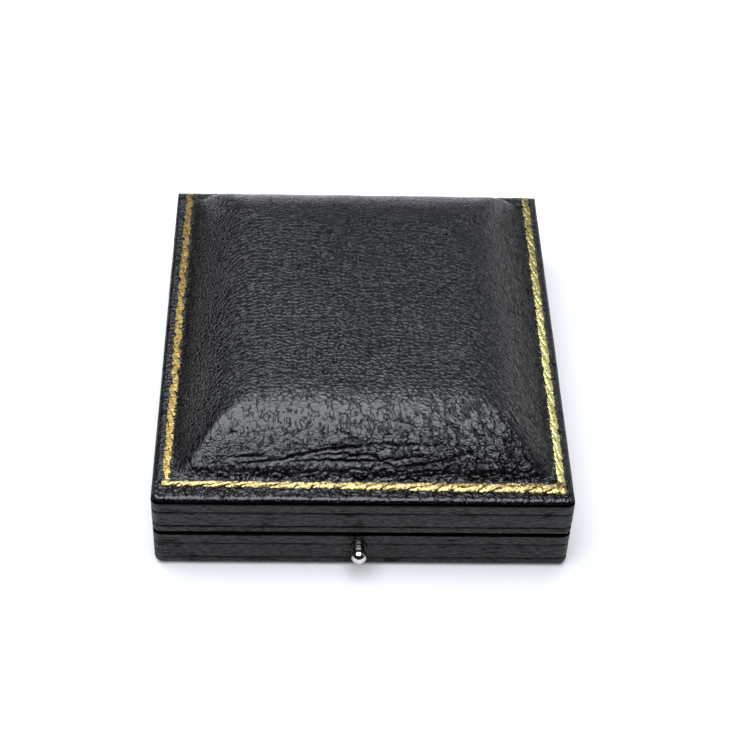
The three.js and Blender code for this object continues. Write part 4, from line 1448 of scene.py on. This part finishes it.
@dataclass
class GoldLine:
    """The gold tooled line: four strips on the ledge, waisted and twisted like a rope."""

    leather: LidLeather
    twist: float = 4.6
    slant: float = 0.5
    waist: float = 0.42
    waist_length: float = 0.3
    slash: float = 0.2
    slash_sunk: float = 0.7
    lobe: float = 0.15
    sunk: float = 0.04
    under: float = 0.1
    step: float = 0.15
    columns: int = 15
    stretches: tuple[Stretch, ...] = (
        Stretch((-39.9, -44.8), (40.2, -45.4), (0.0, 1.0), 61, 1.98, 0.34, 0.55, 0.12, 1.0),
        Stretch((39.4, -45.1), (39.4, 47.6), (-1.0, 0.0), 71, 1.85, 0.12, 0.0, 0.12),
        Stretch((40.2, 47.3), (-39.9, 47.3), (0.0, -1.0), 81, 1.4),
        Stretch((-39.15, 47.6), (-39.15, -43.8), (1.0, 0.0), 91, 1.94),
    )

    def rope(self, stretch: Stretch, u: Array, v: Array) -> tuple[Array, Array, Array]:
        """The rope's form at u along a stretch, and v across it from -1 to 1.

        The height is the crest's times (1 - v squared)^0.8, less a narrow valley along the line where v
        follows the twist, plus lobes, a cosine, between the valleys, plus the tilt. The half width
        shrinks at each stroke of the twist and is ragged.

        Args:
            stretch: The stretch.
            u: Lengths along it, as a column.
            v: Shares across it, as a row.

        Returns:
            Its half width, its height and the depth of the twist's valley from 0 to 1.
        """
        seed = stretch.seed
        phase = u / self.twist + 0.55 * Ripple(seed, 7.0).at(u, u * 0.0)
        turned = phase + 0.12 * Ripple(seed + 6, 2.0).at(u, v) - self.slant * v + 0.5
        stroke = (turned % 1.0 - 0.5) * self.twist
        ragged = 0.16 * Ripple(seed + 1, 0.6).at(u, v * 0.0 + np.sign(v) * 5.0) * np.abs(v)
        flare = 1.0 + stretch.flare * (u / u[-1] - 0.5)
        half = stretch.width / 2.0 * flare * (1.0 + ragged - self.waist * bell(stroke, self.waist_length))
        strength = np.clip(0.62 + 1.5 * Ripple(seed + 4, 1.6).at(u, v), 0.0, 1.0)
        groove = bell(stroke, self.slash) * strength
        lobes = self.lobe * stretch.crest * np.cos(2.0 * math.pi * turned) * (1.0 - v**2)
        height = stretch.crest * (1.0 - v**2) ** 0.8 * (1.0 - self.slash_sunk * groove) + lobes
        crumple = (0.015 + 0.1 * stretch.crest) * Ripple(seed + 3, 0.7).at(u, v * half) * (1.0 - v**2)
        return half, height + crumple + stretch.tilt * (v + 1.0) * half, groove

    def strip(self, shape: Shape, stretch: Stretch) -> None:
        """One straight strip of rope that lies on the leather, with a flat underside in it.

        Args:
            shape: Where the points go.
            stretch: Where it runs, and its form.
        """
        start, end, inwards = (np.array(pair) for pair in (stretch.start, stretch.end, stretch.inwards))
        length = float(np.hypot(*(end - start)))
        way = (end - start) / length
        u = np.linspace(0.0, length, int(length / self.step) + 1)[:, None]
        v = np.linspace(-1.0, 1.0, self.columns)[None, :]
        half, height, groove = self.rope(stretch, u, v)
        off = 0.06 * Ripple(stretch.seed + 2, 7.0).at(u, u * 0.0) + v * half
        plan = start + way * u[..., None] + inwards * off[..., None]
        ground = self.leather.face(plan[..., 0], plan[..., 1])
        rows = np.concatenate([plan, (ground - self.sunk + height)[..., None]], axis=-1)
        lower = rows.copy()
        lower[..., 2] = ground - self.under
        # Dirt and painted shade on the side towards the crown, over more of the width towards the stretch's
        # end.
        low = 0.5 - 0.8 * u / length
        smear = v + 0.45 * Ripple(stretch.seed + 5, 0.8).at(u, v * 0.5)
        dirt_and_shade = stretch.dirt_and_shade * ease(low - 0.25, low + 0.25, smear)
        strip = np.stack(np.broadcast_arrays(dirt_and_shade, v, groove), axis=-1)
        top = shape.add(rows, strip=strip)
        below = shape.add(lower, strip=strip)
        shape.quads(top)
        shape.quads(below[:, ::-1])
        shape.quads(closed(np.stack([rim_of(top), rim_of(below)]), 1))

    def make(self) -> bpy.types.Object:
        """Builds the four strips; the left one ends just behind the front one.

        Returns:
            The piece.
        """
        shape = Shape(strip=3)
        for stretch in self.stretches:
            self.strip(shape, stretch)
        line = shape.piece("gold_rope_line", GOLD.material())
        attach(line, "lid")
        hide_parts("lid_gilt_line")
        return line


@dataclass
class BaseLeather:
    """The base's leather: walls with tooled grooves, a round bottom edge, turned in under the floor."""

    outline: Outline = OUTLINE
    top: float = 9.4
    edge: float = 1.5
    floor: float = 0.5
    turn_in: float = 3.0
    spacing: float = 0.3
    grooves: tuple[float, ...] = (6.6, 2.5)
    button_x: float = -0.7
    button_z: float = 6.0
    hole: float = 1.72
    hole_block: float = 1.5
    hole_reach: float = 3.0
    front_y: float = -40.0
    last_level: float = 9.1
    seam_level: float = 7.0
    under_inset: float = 2.4

    def lines(self, half: float, fixed: Array | None = None) -> Array:
        """Even places from side to side, and past the corners' centres.

        Args:
            half: Half the box's size that way.
            fixed: Places that take over their own stretch.

        Returns:
            The places, from minus to plus.
        """
        core = half - self.outline.corner
        rim = np.linspace(core, core + self.outline.corner, 5)[1:]
        even = np.linspace(-core, core, int(2.0 * core / self.spacing) + 1)
        if fixed is not None:
            clear = (even < fixed[0] - self.spacing / 2.0) | (even > fixed[-1] + self.spacing / 2.0)
            even = np.sort(np.concatenate([even[clear], fixed]))
        return np.concatenate([-rim[::-1], even, rim])

    def opened(self, points: Array) -> Array:
        """Moves the points of the front wall round the button, so that a square hole becomes round.

        With m the larger of the two distances from the button, a ring of equal m goes from a circle at
        the hole's edge back to a square at the reach.

        Args:
            points: Points (x, y, z) of the whole skin.

        Returns:
            The points, moved.
        """
        x, z = points[..., 0] - self.button_x, points[..., 2] - self.button_z
        largest = np.maximum(np.abs(x), np.abs(z))
        away = np.maximum(np.hypot(x, z), 1e-9)
        share = np.clip((largest - self.hole_block) / (self.hole_reach - self.hole_block), 0.0, 1.0)
        radius = self.hole + (self.hole_reach - self.hole) * share
        blend = ease(0.0, 1.0, share)
        scale = np.where(largest < self.hole_reach, (1.0 - blend) * radius / away + blend, 1.0)
        moved = points.copy()
        front = points[..., 1] < self.front_y
        moved[..., 0] = np.where(front, self.button_x + x * scale, points[..., 0])
        moved[..., 2] = np.where(front, self.button_z + z * scale, points[..., 2])
        return moved

    def make(self) -> bpy.types.Object:
        """Builds the skin as rings that close on themselves, with the button's hole through it.

        Returns:
            The piece.
        """
        outline = self.outline
        block = np.linspace(-self.hole_reach, self.hole_reach, 21)
        lines_x = self.lines(outline.half_width, block + self.button_x)
        points, painted_shades = self.rings(*outline.loop(lines_x, self.lines(outline.half_depth)), block)
        shape = Shape(**LEATHER_CHANNELS)
        grid = shape.add(self.opened(points), side=1.0, pucker=0.5, crease=painted_shades)
        kept = self.kept(points)
        shape.quads(closed(closed(grid, 0), 1), kept)
        self.hole_wall(shape, grid, ~kept)
        base = shape.piece("base_leather", LEATHER.material())
        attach(base, "base")
        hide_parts("base_cover")
        return base

    def profile(self, block: Array) -> tuple[Profile, Profile]:
        """Inset and height of each ring, from the bottom edge up and back.

        Args:
            block: Heights of the rings beside the button, from its centre's.

        Returns:
            The rings up the outside, and the ones over the lip, down inside and in under the floor.
        """
        lip, leather = self.outline.lip, self.outline.leather
        turn = np.linspace(0.0, math.pi / 2.0, 7)[1:]
        edge = [(self.edge * (1.0 - math.sin(a)), self.edge * (1.0 - math.cos(a))) for a in turn]
        low = np.linspace(self.edge, self.button_z - self.hole_reach, 7)[1:-1]
        levels = np.concatenate([low, block + self.button_z, [self.last_level]])
        inner = [(lip * (1.0 - math.cos(a)), self.top - lip * (1.0 - math.sin(a))) for a in turn[1::2]]
        inner += [(leather, level) for level in (self.top, *levels[-2::-1], self.floor)]
        inner += [(self.turn_in, self.floor), (self.turn_in, 0.0), (self.under_inset, 0.0), (self.edge, 0.0)]
        return edge + [(0.0, level) for level in levels], inner

    def rings(self, share: Array, way: Array, block: Array) -> tuple[Array, Array]:
        """Points of the whole skin before the hole is opened, ring by ring.

        Args:
            share: The rings' shares of the core rectangle.
            way: The ways outwards.
            block: Heights of the rings beside the button, from its centre's.

        Returns:
            The points, and the depth of painted shade at each.
        """
        outline = self.outline
        outer, inner = self.profile(block)
        first = outline.ring(share, way, 0.0)
        around = length_along(first)
        highest = np.minimum(self.top, outline.seam - outline.bevel_rise(first[:, 1]))
        squeeze = (highest - self.edge) / (self.top - self.edge)
        made, painted_shades = [], []
        for number, (inset, level) in enumerate(outer + inner):
            outside = number < len(outer)
            height = np.full(len(share), level)
            if outside and level > self.edge:
                height = self.edge + (level - self.edge) * squeeze
            depth = np.full(len(share), inset)
            if outside:
                depth = depth + side_relief(around, height, self.grooves, 141)
            place = outline.ring(share, way, depth)
            if not outside and level > self.seam_level:
                height = np.minimum(height, outline.seam - outline.seam_rise(place[:, 0], place[:, 1]))
            made.append(raised(place, height))
            # Painted shade: in the tooled grooves outside, and black over the lip and down the inside, which
            # lie in the slit's shade; the strip turned in underneath gets none.
            if outside:
                painted_shades.append(groove_shade(around, height, self.grooves, 151))
            else:
                painted_shades.append(np.full(len(share), float(level > self.edge)))
        return np.array(made), np.array(painted_shades)

    def kept(self, points: Array) -> Array:
        """Which faces stay: all but those of the front wall inside the hole's block.

        Args:
            points: The rings' points before they are moved.

        Returns:
            Yes or no for the face after each point, in both ways.
        """
        away = np.maximum(np.abs(points[..., 0] - self.button_x), np.abs(points[..., 2] - self.button_z))
        near = (away < self.hole_block + 0.01) & (points[..., 1] < self.front_y)
        along, down = np.roll(near, -1, axis=1), np.roll(near, -1, axis=0)
        return ~(near & along & down & np.roll(down, -1, axis=1))

    def hole_wall(self, shape: Shape, grid: Array, gone: Array) -> None:
        """Joins the hole's edge outside to its edge inside.

        Args:
            shape: Where the faces go.
            grid: The rings' indices.
            gone: The faces left out, in one block outside and one inside.
        """
        rows, columns = np.nonzero(gone)
        split = rows[0] + np.argmax(np.diff(np.unique(rows)) > 1)
        borders = []
        for part in (rows <= split, rows > split):
            low, high = rows[part].min(), rows[part].max() + 1
            left, right = columns[part].min(), columns[part].max() + 1
            block = grid[low:high + 1, left:right + 1]
            if borders:
                block = block[::-1]
            borders.append(rim_of(block))
        shape.quads(closed(np.stack(borders), 1))


@dataclass
class PushButton:
    """The polished button with its round end, collar and riveted tip."""

    centre: tuple[float, float, float] = (-0.7, 0.0, 6.0)
    radius: float = 1.6
    ball: float = -51.6
    shoulder: float = -46.3
    collar: float = 2.3
    collar_back: float = -45.5
    tip: float = 1.0
    seat: float = -43.15
    rivet: float = 1.5
    rivet_height: float = 0.4
    bevel: float = 0.04
    neck: tuple[tuple[float, float], ...] = ((0.0, 0.25), (0.05, 0.32), (0.05, 0.42), (0.01, 0.5))
    sides: int = 56

    def make(self) -> bpy.types.Object:
        """Turns the button's profile about its line.

        The round end is a quarter circle. The neck's steps, inwards and back, part it from the stem.

        Returns:
            The piece.
        """
        angle = np.linspace(0.03, math.pi / 2.0, 18)
        end = np.stack([self.radius * np.sin(angle), self.ball - self.radius * np.cos(angle)], axis=1)
        stem = np.array([
            *([self.radius - step, self.ball + back] for step, back in self.neck),
            [self.radius, self.shoulder - 0.01], [self.radius, self.shoulder],
            [self.collar - self.bevel, self.shoulder], [self.collar, self.shoulder + self.bevel],
            [self.collar, self.collar_back - self.bevel], [self.collar - self.bevel, self.collar_back],
            [self.tip, self.collar_back], [self.tip, self.seat], [self.rivet, self.seat],
            [self.rivet, self.seat + 0.06], [self.rivet * 0.8, self.seat + self.rivet_height * 0.7],
            [self.rivet / 2.0, self.seat + self.rivet_height], [0.05, self.seat + self.rivet_height],
        ])
        shape = Shape()
        grid = shape.add(turned_shape(np.concatenate([end, stem]), self.centre, self.sides))
        shape.quads(closed(grid, 1))
        shape.polygons(grid[0])
        shape.polygons(grid[-1])
        button = shape.piece("nickel_push_button", NICKEL.material())
        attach(button, "button")
        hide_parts("push_button")
        return button


@dataclass
class Nest:
    """The velvet nest of the base: a soft top round the recess for the watch, and the pad in it."""

    half_width: float = 36.9
    half_depth: float = 43.9
    top: float = 9.0
    under: float = 8.2
    floor: float = 2.2
    centre_y: float = -9.0
    radius: float = 25.7
    bay_half: float = 8.5
    bay_end: float = 36.0
    notch: tuple[float, float, float] = (-7.2, 5.8, -41.25)
    velvet: float = 0.8
    border: float = 0.5
    roll: float = 1.1
    dip: float = 0.08
    pad_floor: float = 2.0
    pad_height: float = 1.0
    pad_gap: float = 0.2
    pad_side: float = 0.2
    pad_round: float = 0.12
    sides: int = 420

    def edge_points(self, growth: float) -> Array:
        """The recess's outline: the watch's circle, then the straight sides and round end of the bay.

        Args:
            growth: How far the outline is moved outwards.

        Returns:
            Points (x, y) in even steps of its length, from where the circle meets the bay on the left.
        """
        radius, half = self.radius + growth, self.bay_half + growth
        join = math.acos(half / radius)
        turn = np.linspace(math.pi - join, 2.0 * math.pi + join, 400)
        circle = np.stack([radius * np.cos(turn), self.centre_y + radius * np.sin(turn)], axis=1)
        turn = np.linspace(0.0, math.pi, 120)
        bay = np.stack([half * np.cos(turn), self.bay_end - self.bay_half + half * np.sin(turn)], axis=1)
        path = np.concatenate([circle, bay, circle[:1]])
        length = length_along(path)
        even = np.linspace(0.0, length[-1], self.sides, endpoint=False)
        return np.stack([np.interp(even, length, path[:, part]) for part in (0, 1)], axis=1)

    def outer_points(self, inner: Array, inset: float) -> Array:
        """Where the line from the recess's centre through each edge point meets the nest's border.

        The border is a rectangle, and towards the hook the notch's own line.

        Args:
            inner: The edge points.
            inset: How far the border is moved inwards.

        Returns:
            Points (x, y), one for each edge point.
        """
        way = inner - np.array([0.0, self.centre_y])
        way = way / np.linalg.norm(way, axis=1, keepdims=True)
        reach_x = (self.half_width - inset) / np.maximum(np.abs(way[:, 0]), 1e-9)
        limit = np.where(way[:, 1] > 0.0, self.half_depth - inset - self.centre_y,
                         self.half_depth - inset + self.centre_y)
        reach = np.minimum(reach_x, limit / np.maximum(np.abs(way[:, 1]), 1e-9))
        low, high, back = self.notch
        notch_reach = (back + inset - self.centre_y) / np.minimum(way[:, 1], -1e-9)
        x = way[:, 0] * notch_reach
        notched = (way[:, 1] < 0.0) & (x > low - inset) & (x < high + inset)
        reach = np.where(notched, np.minimum(reach, notch_reach), reach)
        return np.array([0.0, self.centre_y]) + way * reach[:, None]

    def make(self) -> list[bpy.types.Object]:
        """Builds the velvet as rings from its border over the top, round the roll and down the recess.

        Returns:
            The velvet and the pad.
        """
        shape = Shape()
        rings = []

        def ring(plan: Array, height: Array | float) -> None:
            """Adds one ring."""
            rings.append(shape.add(raised(plan, height)))

        inner = self.edge_points(0.0)
        lip = self.edge_points(self.roll)
        for turn in np.linspace(0.0, math.pi / 2.0, 5):
            plan = self.outer_points(inner, self.border * (1.0 - math.cos(turn)))
            ring(plan, self.top - self.border * (1.0 - math.sin(turn)))
        border = self.outer_points(inner, self.border)
        for share in np.linspace(0.0, 1.0, 16)[1:]:
            plan = border + (lip - border) * share
            soft = 0.1 * math.sin(math.pi * share) + 0.05 * Ripple(201, 6.0).at(plan[:, 0], plan[:, 1])
            ring(plan, self.top - self.dip + soft * math.sin(math.pi * share) ** 0.5)
        for turn in np.linspace(0.0, math.pi / 2.0, 8)[1:]:
            plan = self.edge_points(self.roll * (1.0 - math.sin(turn)))
            ring(plan, self.top - self.dip - self.roll * (1.0 - math.cos(turn)))
        for height in np.linspace(self.top - self.roll - self.dip, self.floor, 12)[1:]:
            crinkle = 0.04 * Ripple(202, 2.0).at(inner[:, 0], inner[:, 1] + height)
            ring(inner * (1.0 - crinkle[:, None] / self.radius), height)
        ring(self.edge_points(self.velvet), self.floor)
        ring(self.edge_points(self.velvet), self.under)
        ring(self.outer_points(inner, 0.0), self.under)
        shape.quads(closed(closed(np.array(rings), 0), 1))
        velvet = shape.piece("nest_velvet_cover", VELVET.material())
        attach(velvet, "base")
        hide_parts("nest_velvet")
        return [velvet, self.pad()]

    def pad(self) -> bpy.types.Object:
        """The pad on the recess's floor.

        Rings shrink from the outline to the centre. The height goes up by the square root of
        1 - (1 - s) squared over its outer part, with slow dimples.

        Returns:
            The piece.
        """
        shape = Shape()
        outline = self.edge_points(-self.pad_gap)
        centre = np.array([0.0, self.centre_y])
        rings = [shape.add(raised(outline, self.pad_floor))]
        for share in np.linspace(0.0, 1.0, 26)[:-1] ** 1.4:
            plan = centre + (outline - centre) * (1.0 - share)
            dimples = 0.06 * Ripple(211, 9.0).at(plan[:, 0], plan[:, 1])
            swell = dome(share, self.pad_round)
            height = self.pad_floor + self.pad_side + (self.pad_height - self.pad_side + dimples) * swell
            rings.append(shape.add(raised(plan, height)))
        shape.quads(closed(np.array(rings), 1))
        shape.polygons(rings[0])
        shape.polygons(rings[-1])
        pad = shape.piece("recess_velvet_pad", VELVET.material())
        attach(pad, "base")
        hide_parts("recess_pad")
        return pad


@dataclass
class LidLining:
    """The lid's inside: wadding under the crown, a satin pad, and the padded satin band round the walls."""

    half_width: float = 37.2
    half_depth: float = 44.2
    ceiling: float = 16.2
    side: float = 0.7
    crown: float = 0.8
    run: float = 14.0
    steps: tuple[int, int] = (150, 176)
    pleat: float = 2.6
    pleat_reach: float = 5.0
    band_insets: tuple[float, float] = (4.08, 4.55)
    band_levels: tuple[float, float] = (11.5, 16.15)
    band_round: tuple[float, float] = (0.12, 0.1)
    band_swell: float = 0.16
    wad_gap: float = 0.3
    wad_lump: float = 0.08

    def pillow(self, reach: tuple[float, float], counts: tuple[int, int]) -> tuple[Array, Array]:
        """Places of a pad's grid: reach times the sine of an even angle, so closer at the sides.

        Args:
            reach: Half the pad's width and depth.
            counts: Steps across and towards the hinge.

        Returns:
            The places across and towards the hinge, as grids.
        """
        angles = (np.linspace(-math.pi / 2.0, math.pi / 2.0, count + 1) for count in counts)
        return np.meshgrid(*(size * np.sin(angle) for size, angle in zip(reach, angles)))

    def closed_pad(self, shape: Shape, face: Array, back: float) -> None:
        """Closes a pad's face with straight sides and a flat back.

        Args:
            shape: Where the points go.
            face: The face, a grid of points.
            back: The back's height.
        """
        top = shape.add(face)
        shape.quads(top)
        rim = rim_of(top)
        points = rim_of(face)
        points[:, 2] = back
        low = shape.add(points)
        shape.quads(closed(np.stack([rim, low]), 1))
        shape.polygons(low)

    def satin_pad(self) -> bpy.types.Object:
        """The satin pad, hanging down in the middle and gathered at its sides.

        Its face is the ceiling less the side's height less crown g(sx) g(sy). Pleats are a sine along
        each side, and fade inwards.

        Returns:
            The piece.
        """
        x, y = self.pillow((self.half_width, self.half_depth), self.steps)
        away_x, away_y = self.half_width - np.abs(x), self.half_depth - np.abs(y)
        near = np.minimum(away_x, away_y)
        along = np.where(away_x < away_y, y, x)
        phase = along / self.pleat + 0.3 * Ripple(221, 6.0).at(x, y)
        pleats = 0.1 * np.sin(2.0 * math.pi * phase) * bell(near, self.pleat_reach) * ease(0.0, 0.8, near)
        waves = 0.05 * Ripple(222, 11.0).at(x, y) * ease(0.0, 6.0, near)
        bulge = self.crown * dome(away_x, self.run) * dome(away_y, self.run)
        face = self.ceiling - self.side - bulge + pleats + waves
        shape = Shape()
        self.closed_pad(shape, np.stack([x, y, face], axis=-1), self.ceiling)
        pad = shape.piece("lid_satin_cushion", SATIN.material())
        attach(pad, "lid")
        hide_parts("lid_satin_pad")
        return pad

    def wadding(self, leather: LidLeather) -> bpy.types.Object:
        """The wadding that fills the crown: its height over a smaller plan, with lumps, less a gap.

        Args:
            leather: The lid's leather.

        Returns:
            The piece.
        """
        growth = leather.skin + self.wad_gap
        reach = (leather.outline.half_width - leather.side_inset - growth,
                 leather.outline.half_depth - leather.end_inset - growth)
        x, y = self.pillow(reach, (60, 70))
        lump = self.wad_lump * (Ripple(231, 3.0).at(x, y) - 1.0)
        risen = np.maximum(leather.crown(x, y, growth) + lump - self.wad_gap, 0.1)
        shape = Shape()
        self.closed_pad(shape, np.stack([x, y, leather.hollow_floor + risen], axis=-1), leather.hollow_floor)
        wad = shape.piece("crown_wadding", WADDING.material())
        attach(wad, "lid")
        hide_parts("crown_padding")
        return wad

    def band(self, outline: Outline) -> bpy.types.Object:
        """The satin band on the walls' inner side, a closed ring.

        Its back is flat. Its face swells as the square root of a sine over its height, and
        gathers, a sine along the wall, ruffle it.

        Args:
            outline: The box's outline.

        Returns:
            The piece.
        """
        half_x, half_y = outline.half_width - outline.leather, outline.half_depth - outline.leather
        share, way = outline.loop(np.linspace(-half_x, half_x, 161), np.linspace(-half_y, half_y, 189))
        around = length_along(outline.ring(share, way, 0.0))
        count = round(around[-1] / self.pleat)
        gathers = np.sin(2.0 * math.pi * count * around / around[-1])
        gathers = gathers * (0.6 + 0.4 * Ripple(241, around[-1] / 40.0, 40).at(around, around * 0.0))
        (back, face), (low, high) = self.band_insets, self.band_levels
        over, down = self.band_round
        rows = [(back, high - down, 0.0), (back, low + down, 0.0),
                (back + over, low, 0.0), (face - over, low, 0.0)]
        rows += [(face, low + rise * (high - low), math.sqrt(math.sin(math.pi * rise)))
                 for rise in np.linspace(0.03, 0.97, 15)]
        rows += [(face - over, high, 0.0), (back + over, high, 0.0)]
        shape = Shape()
        made = []
        for inset, level, swollen in rows:
            depth = inset + self.band_swell * swollen * (0.75 + 0.25 * gathers)
            made.append(shape.add(raised(outline.ring(share, way, depth), level)))
        shape.quads(closed(closed(np.array(made), 1), 0))
        band = shape.piece("lid_satin_band", SATIN.material())
        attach(band, "lid")
        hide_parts("lid_side_lining")
        return band

    def make(self, leather: LidLeather) -> list[bpy.types.Object]:
        """Builds the pads and the band."""
        return [self.satin_pad(), self.wadding(leather), self.band(leather.outline)]


@dataclass
class Fittings:
    """Metal, wood and card parts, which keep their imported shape."""

    metal: dict[str, MetalFinish] = field(default_factory=lambda: {
        "base_rim": RIM_BRASS, "lid_rim": RIM_BRASS, "catch_hook": BRASS, "button_bush": BRASS,
        "catch_spring": STEEL, "catch_spring_screw_left": STEEL, "catch_spring_screw_right": STEEL,
        "hinge_pin_left": STEEL, "hinge_pin_right": STEEL,
        **{f"{part}_rim_pin_{end}_{side}": BRASS
           for part in ("base", "lid") for end in ("front", "back") for side in ("left", "right")},
    })
    plain: dict[str, Finish] = field(default_factory=lambda: {
        "base_bottom_cover": BOOK_CLOTH, "nest_core": CARD, "lid_lining_card": CARD,
        **{name: WOOD for name in (
            "base_floor", "base_front_wall", "base_back_wall", "base_left_wall", "base_right_wall",
            "lid_top_board", "lid_front_wall", "lid_back_wall", "lid_left_wall", "lid_right_wall")},
    })
    merge: float = 1e-6
    flat_degrees: float = 0.5
    bevel: float = 0.05
    sharp_degrees: float = 40.0

    def worked(self, node: str, finish: MetalFinish) -> bpy.types.Object:
        """A copy of a packed metal part with its points merged and its sharp edges eased.

        Args:
            node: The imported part's name.
            finish: Its metal.

        Returns:
            The piece.
        """
        source = frame["nodes"][node]
        mesh = source.data.copy()
        work = bmesh.new()
        work.from_mesh(mesh)
        bmesh.ops.remove_doubles(work, verts=work.verts, dist=self.merge)
        flat = math.radians(self.flat_degrees)
        bmesh.ops.dissolve_limit(work, angle_limit=flat, verts=work.verts, edges=work.edges)
        work.to_mesh(mesh)
        work.free()
        mesh.materials.clear()
        mesh.materials.append(finish.material())
        mesh.shade_smooth()
        piece = placed(f"{node}_{finish.metal.name.lower()}", mesh)
        ease_edges = piece.modifiers.new("eased_edges", "BEVEL")
        ease_edges.width = self.bevel * MM
        ease_edges.segments = 2
        ease_edges.limit_method = "ANGLE"
        ease_edges.angle_limit = math.radians(self.sharp_degrees)
        ease_edges.harden_normals = True
        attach(piece, source["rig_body"])
        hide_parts(node)
        return piece

    def make(self) -> list[bpy.types.Object]:
        """Works the metal parts, and gives the others their finish.

        Returns:
            The metal pieces.
        """
        made = [self.worked(node, finish) for node, finish in self.metal.items()]
        for node, finish in self.plain.items():
            for slot in frame["nodes"][node].material_slots:
                slot.material = finish.material()
        return made


# ---- studio


@dataclass
class Studio:
    """Camera, soft light from above, white surround and floor."""

    lens: float = 86.4
    sensor: float = 36.0
    place: tuple[float, float, float] = (-0.012, -0.2843, 0.2840)
    yaw: float = 3.14
    pitch: float = 44.27
    roll: float = 2.79
    panel_size: tuple[float, float] = (0.72, 0.8)
    panel_place: tuple[float, float, float] = (-0.11, -0.02, 0.62)
    panel_radiance: float = 5.6
    tint: Color = (0.95, 0.985, 1.05)
    fill: float = 0.3
    floor_color: float = 0.62
    floor_lift: float = 0.1
    floor_reach: float = 175.0

    def camera(self) -> bpy.types.Object:
        """A camera turned by yaw about Z, then pitched down, then rolled.

        Returns:
            The camera.
        """
        yaw, pitch, roll = (math.radians(angle) for angle in (self.yaw, self.pitch, self.roll))
        ahead = np.array([math.sin(yaw) * math.cos(pitch), math.cos(yaw) * math.cos(pitch), -math.sin(pitch)])
        level = np.array([math.cos(yaw), -math.sin(yaw), 0.0])
        above = np.cross(level, ahead)
        right = level * math.cos(roll) + above * math.sin(roll)
        up = above * math.cos(roll) - level * math.sin(roll)
        data = bpy.data.cameras.new("photo_camera")
        data.lens, data.sensor_width = self.lens, self.sensor
        data.clip_start, data.clip_end = 0.01, 20.0
        camera = placed("photo_camera", data)
        turned = Matrix(np.stack([right, up, -ahead], axis=1).tolist()).to_4x4()
        camera.matrix_world = Matrix.Translation(self.place) @ turned
        bpy.context.scene.camera = camera
        return camera

    def panel(self) -> bpy.types.Object:
        """A soft oblong light overhead; its power is its radiance times pi times its area.

        Returns:
            The light.
        """
        data = bpy.data.lights.new("overhead_panel", "AREA")
        data.shape, (data.size, data.size_y) = "RECTANGLE", self.panel_size
        data.energy = self.panel_radiance * math.pi * data.size * data.size_y
        data.color = self.tint
        light = placed("overhead_panel", data)
        light.location = self.panel_place
        light.visible_camera = False
        return light

    def seen(self, board: Board) -> Signal:
        """1 for rays that see the surround itself: from the camera, off gloss, or through glass."""
        rays = [board.node("LightPath", output=name) for name in
                ("Is Camera Ray", "Is Glossy Ray", "Is Transmission Ray")]
        return rays[0].at_least(rays[1]).at_least(rays[2])

    def world(self) -> None:
        """White to the camera. To gloss it is pale above, low behind and on the right, and dark in front."""
        world = bpy.data.worlds.new("surround")
        bpy.context.scene.world = world
        board = Board(world)
        way = board.node("TexCoord", output="Generated")
        x, y, z = (board.part(way, axis) for axis in "XYZ")
        front = y.rise(0.15, -0.3)
        level = y.rise(0.75, 0.95) * z.rise(0.3, 0.0) * 0.4 - x.rise(-0.3, -0.65) * 0.3
        above = x.rise(0.0, -0.25) * z.rise(0.3, 0.6) * 0.08 - x.rise(0.05, 0.2) * z.rise(0.2, 0.5) * 0.24
        right = x.rise(0.32, 0.6) * 0.5
        gloss = (0.32 + z.rise(0.05, 0.72) * 0.19 + level + above + right) * (1.0 - front * 0.95) * 0.76
        camera = board.node("LightPath", output="Is Camera Ray")
        shown = board.mixed(camera, gloss, 1.0, "FLOAT")
        strength = board.mixed(self.seen(board), self.fill, shown, "FLOAT")
        color = board.mixed(camera, self.tint, (1.0, 1.0, 1.0))
        sky = board.node("Background", {}, {"Color": color, "Strength": strength})
        board.node_end("OutputWorld", sky)

    def floor(self) -> bpy.types.Object:
        """A pale sheet to stand on, lifted to white where it is seen, so that only the shadow stays.

        Returns:
            The floor.
        """
        material = bpy.data.materials.new("white_floor")
        board = Board(material)
        tone = board.noise(board.places(), 60.0, 1.0)
        paint = board.principled({
            "Base Color": board.mixed(tone, (self.floor_color,) * 3, (self.floor_color + 0.01,) * 3),
            "Roughness": 0.9,
            "Specular IOR Level": 0.0,
        })
        glow = board.node("Emission", {}, {"Strength": self.seen(board) * self.floor_lift})
        board.surface(board.node("AddShader", {}, {0: paint, 1: glow}))
        shape = Shape()
        side = np.linspace(-self.floor_reach, self.floor_reach, 3)
        x, y = np.meshgrid(side, side)
        shape.quads(shape.add(np.stack([x, y, np.full_like(x, -0.02)], axis=-1)))
        floor = shape.piece("floor", material, outwards=False)
        return floor

    def make(self) -> list[bpy.types.Object]:
        """Sets the stage."""
        self.world()
        bpy.context.scene.view_settings.view_transform = "Standard"
        return [self.camera(), self.panel(), self.floor()]


def main() -> None:
    """Builds the box and its studio, and reports each piece."""
    logging.basicConfig(level=logging.INFO, format="%(message)s")
    Studio().make()
    lid = LidLeather()
    pieces = [lid.make(), GoldLine(lid).make(), BaseLeather().make(), PushButton().make()]
    pieces += Nest().make() + LidLining().make(lid) + Fittings().make()
    for piece in pieces:
        faces, finish = len(piece.data.polygons), piece.data.materials[0].name
        log.info("%s: %d faces, finish %s", piece.name, faces, finish)
    bpy.context.view_layer.update()


if __name__ == "__main__":
    main()
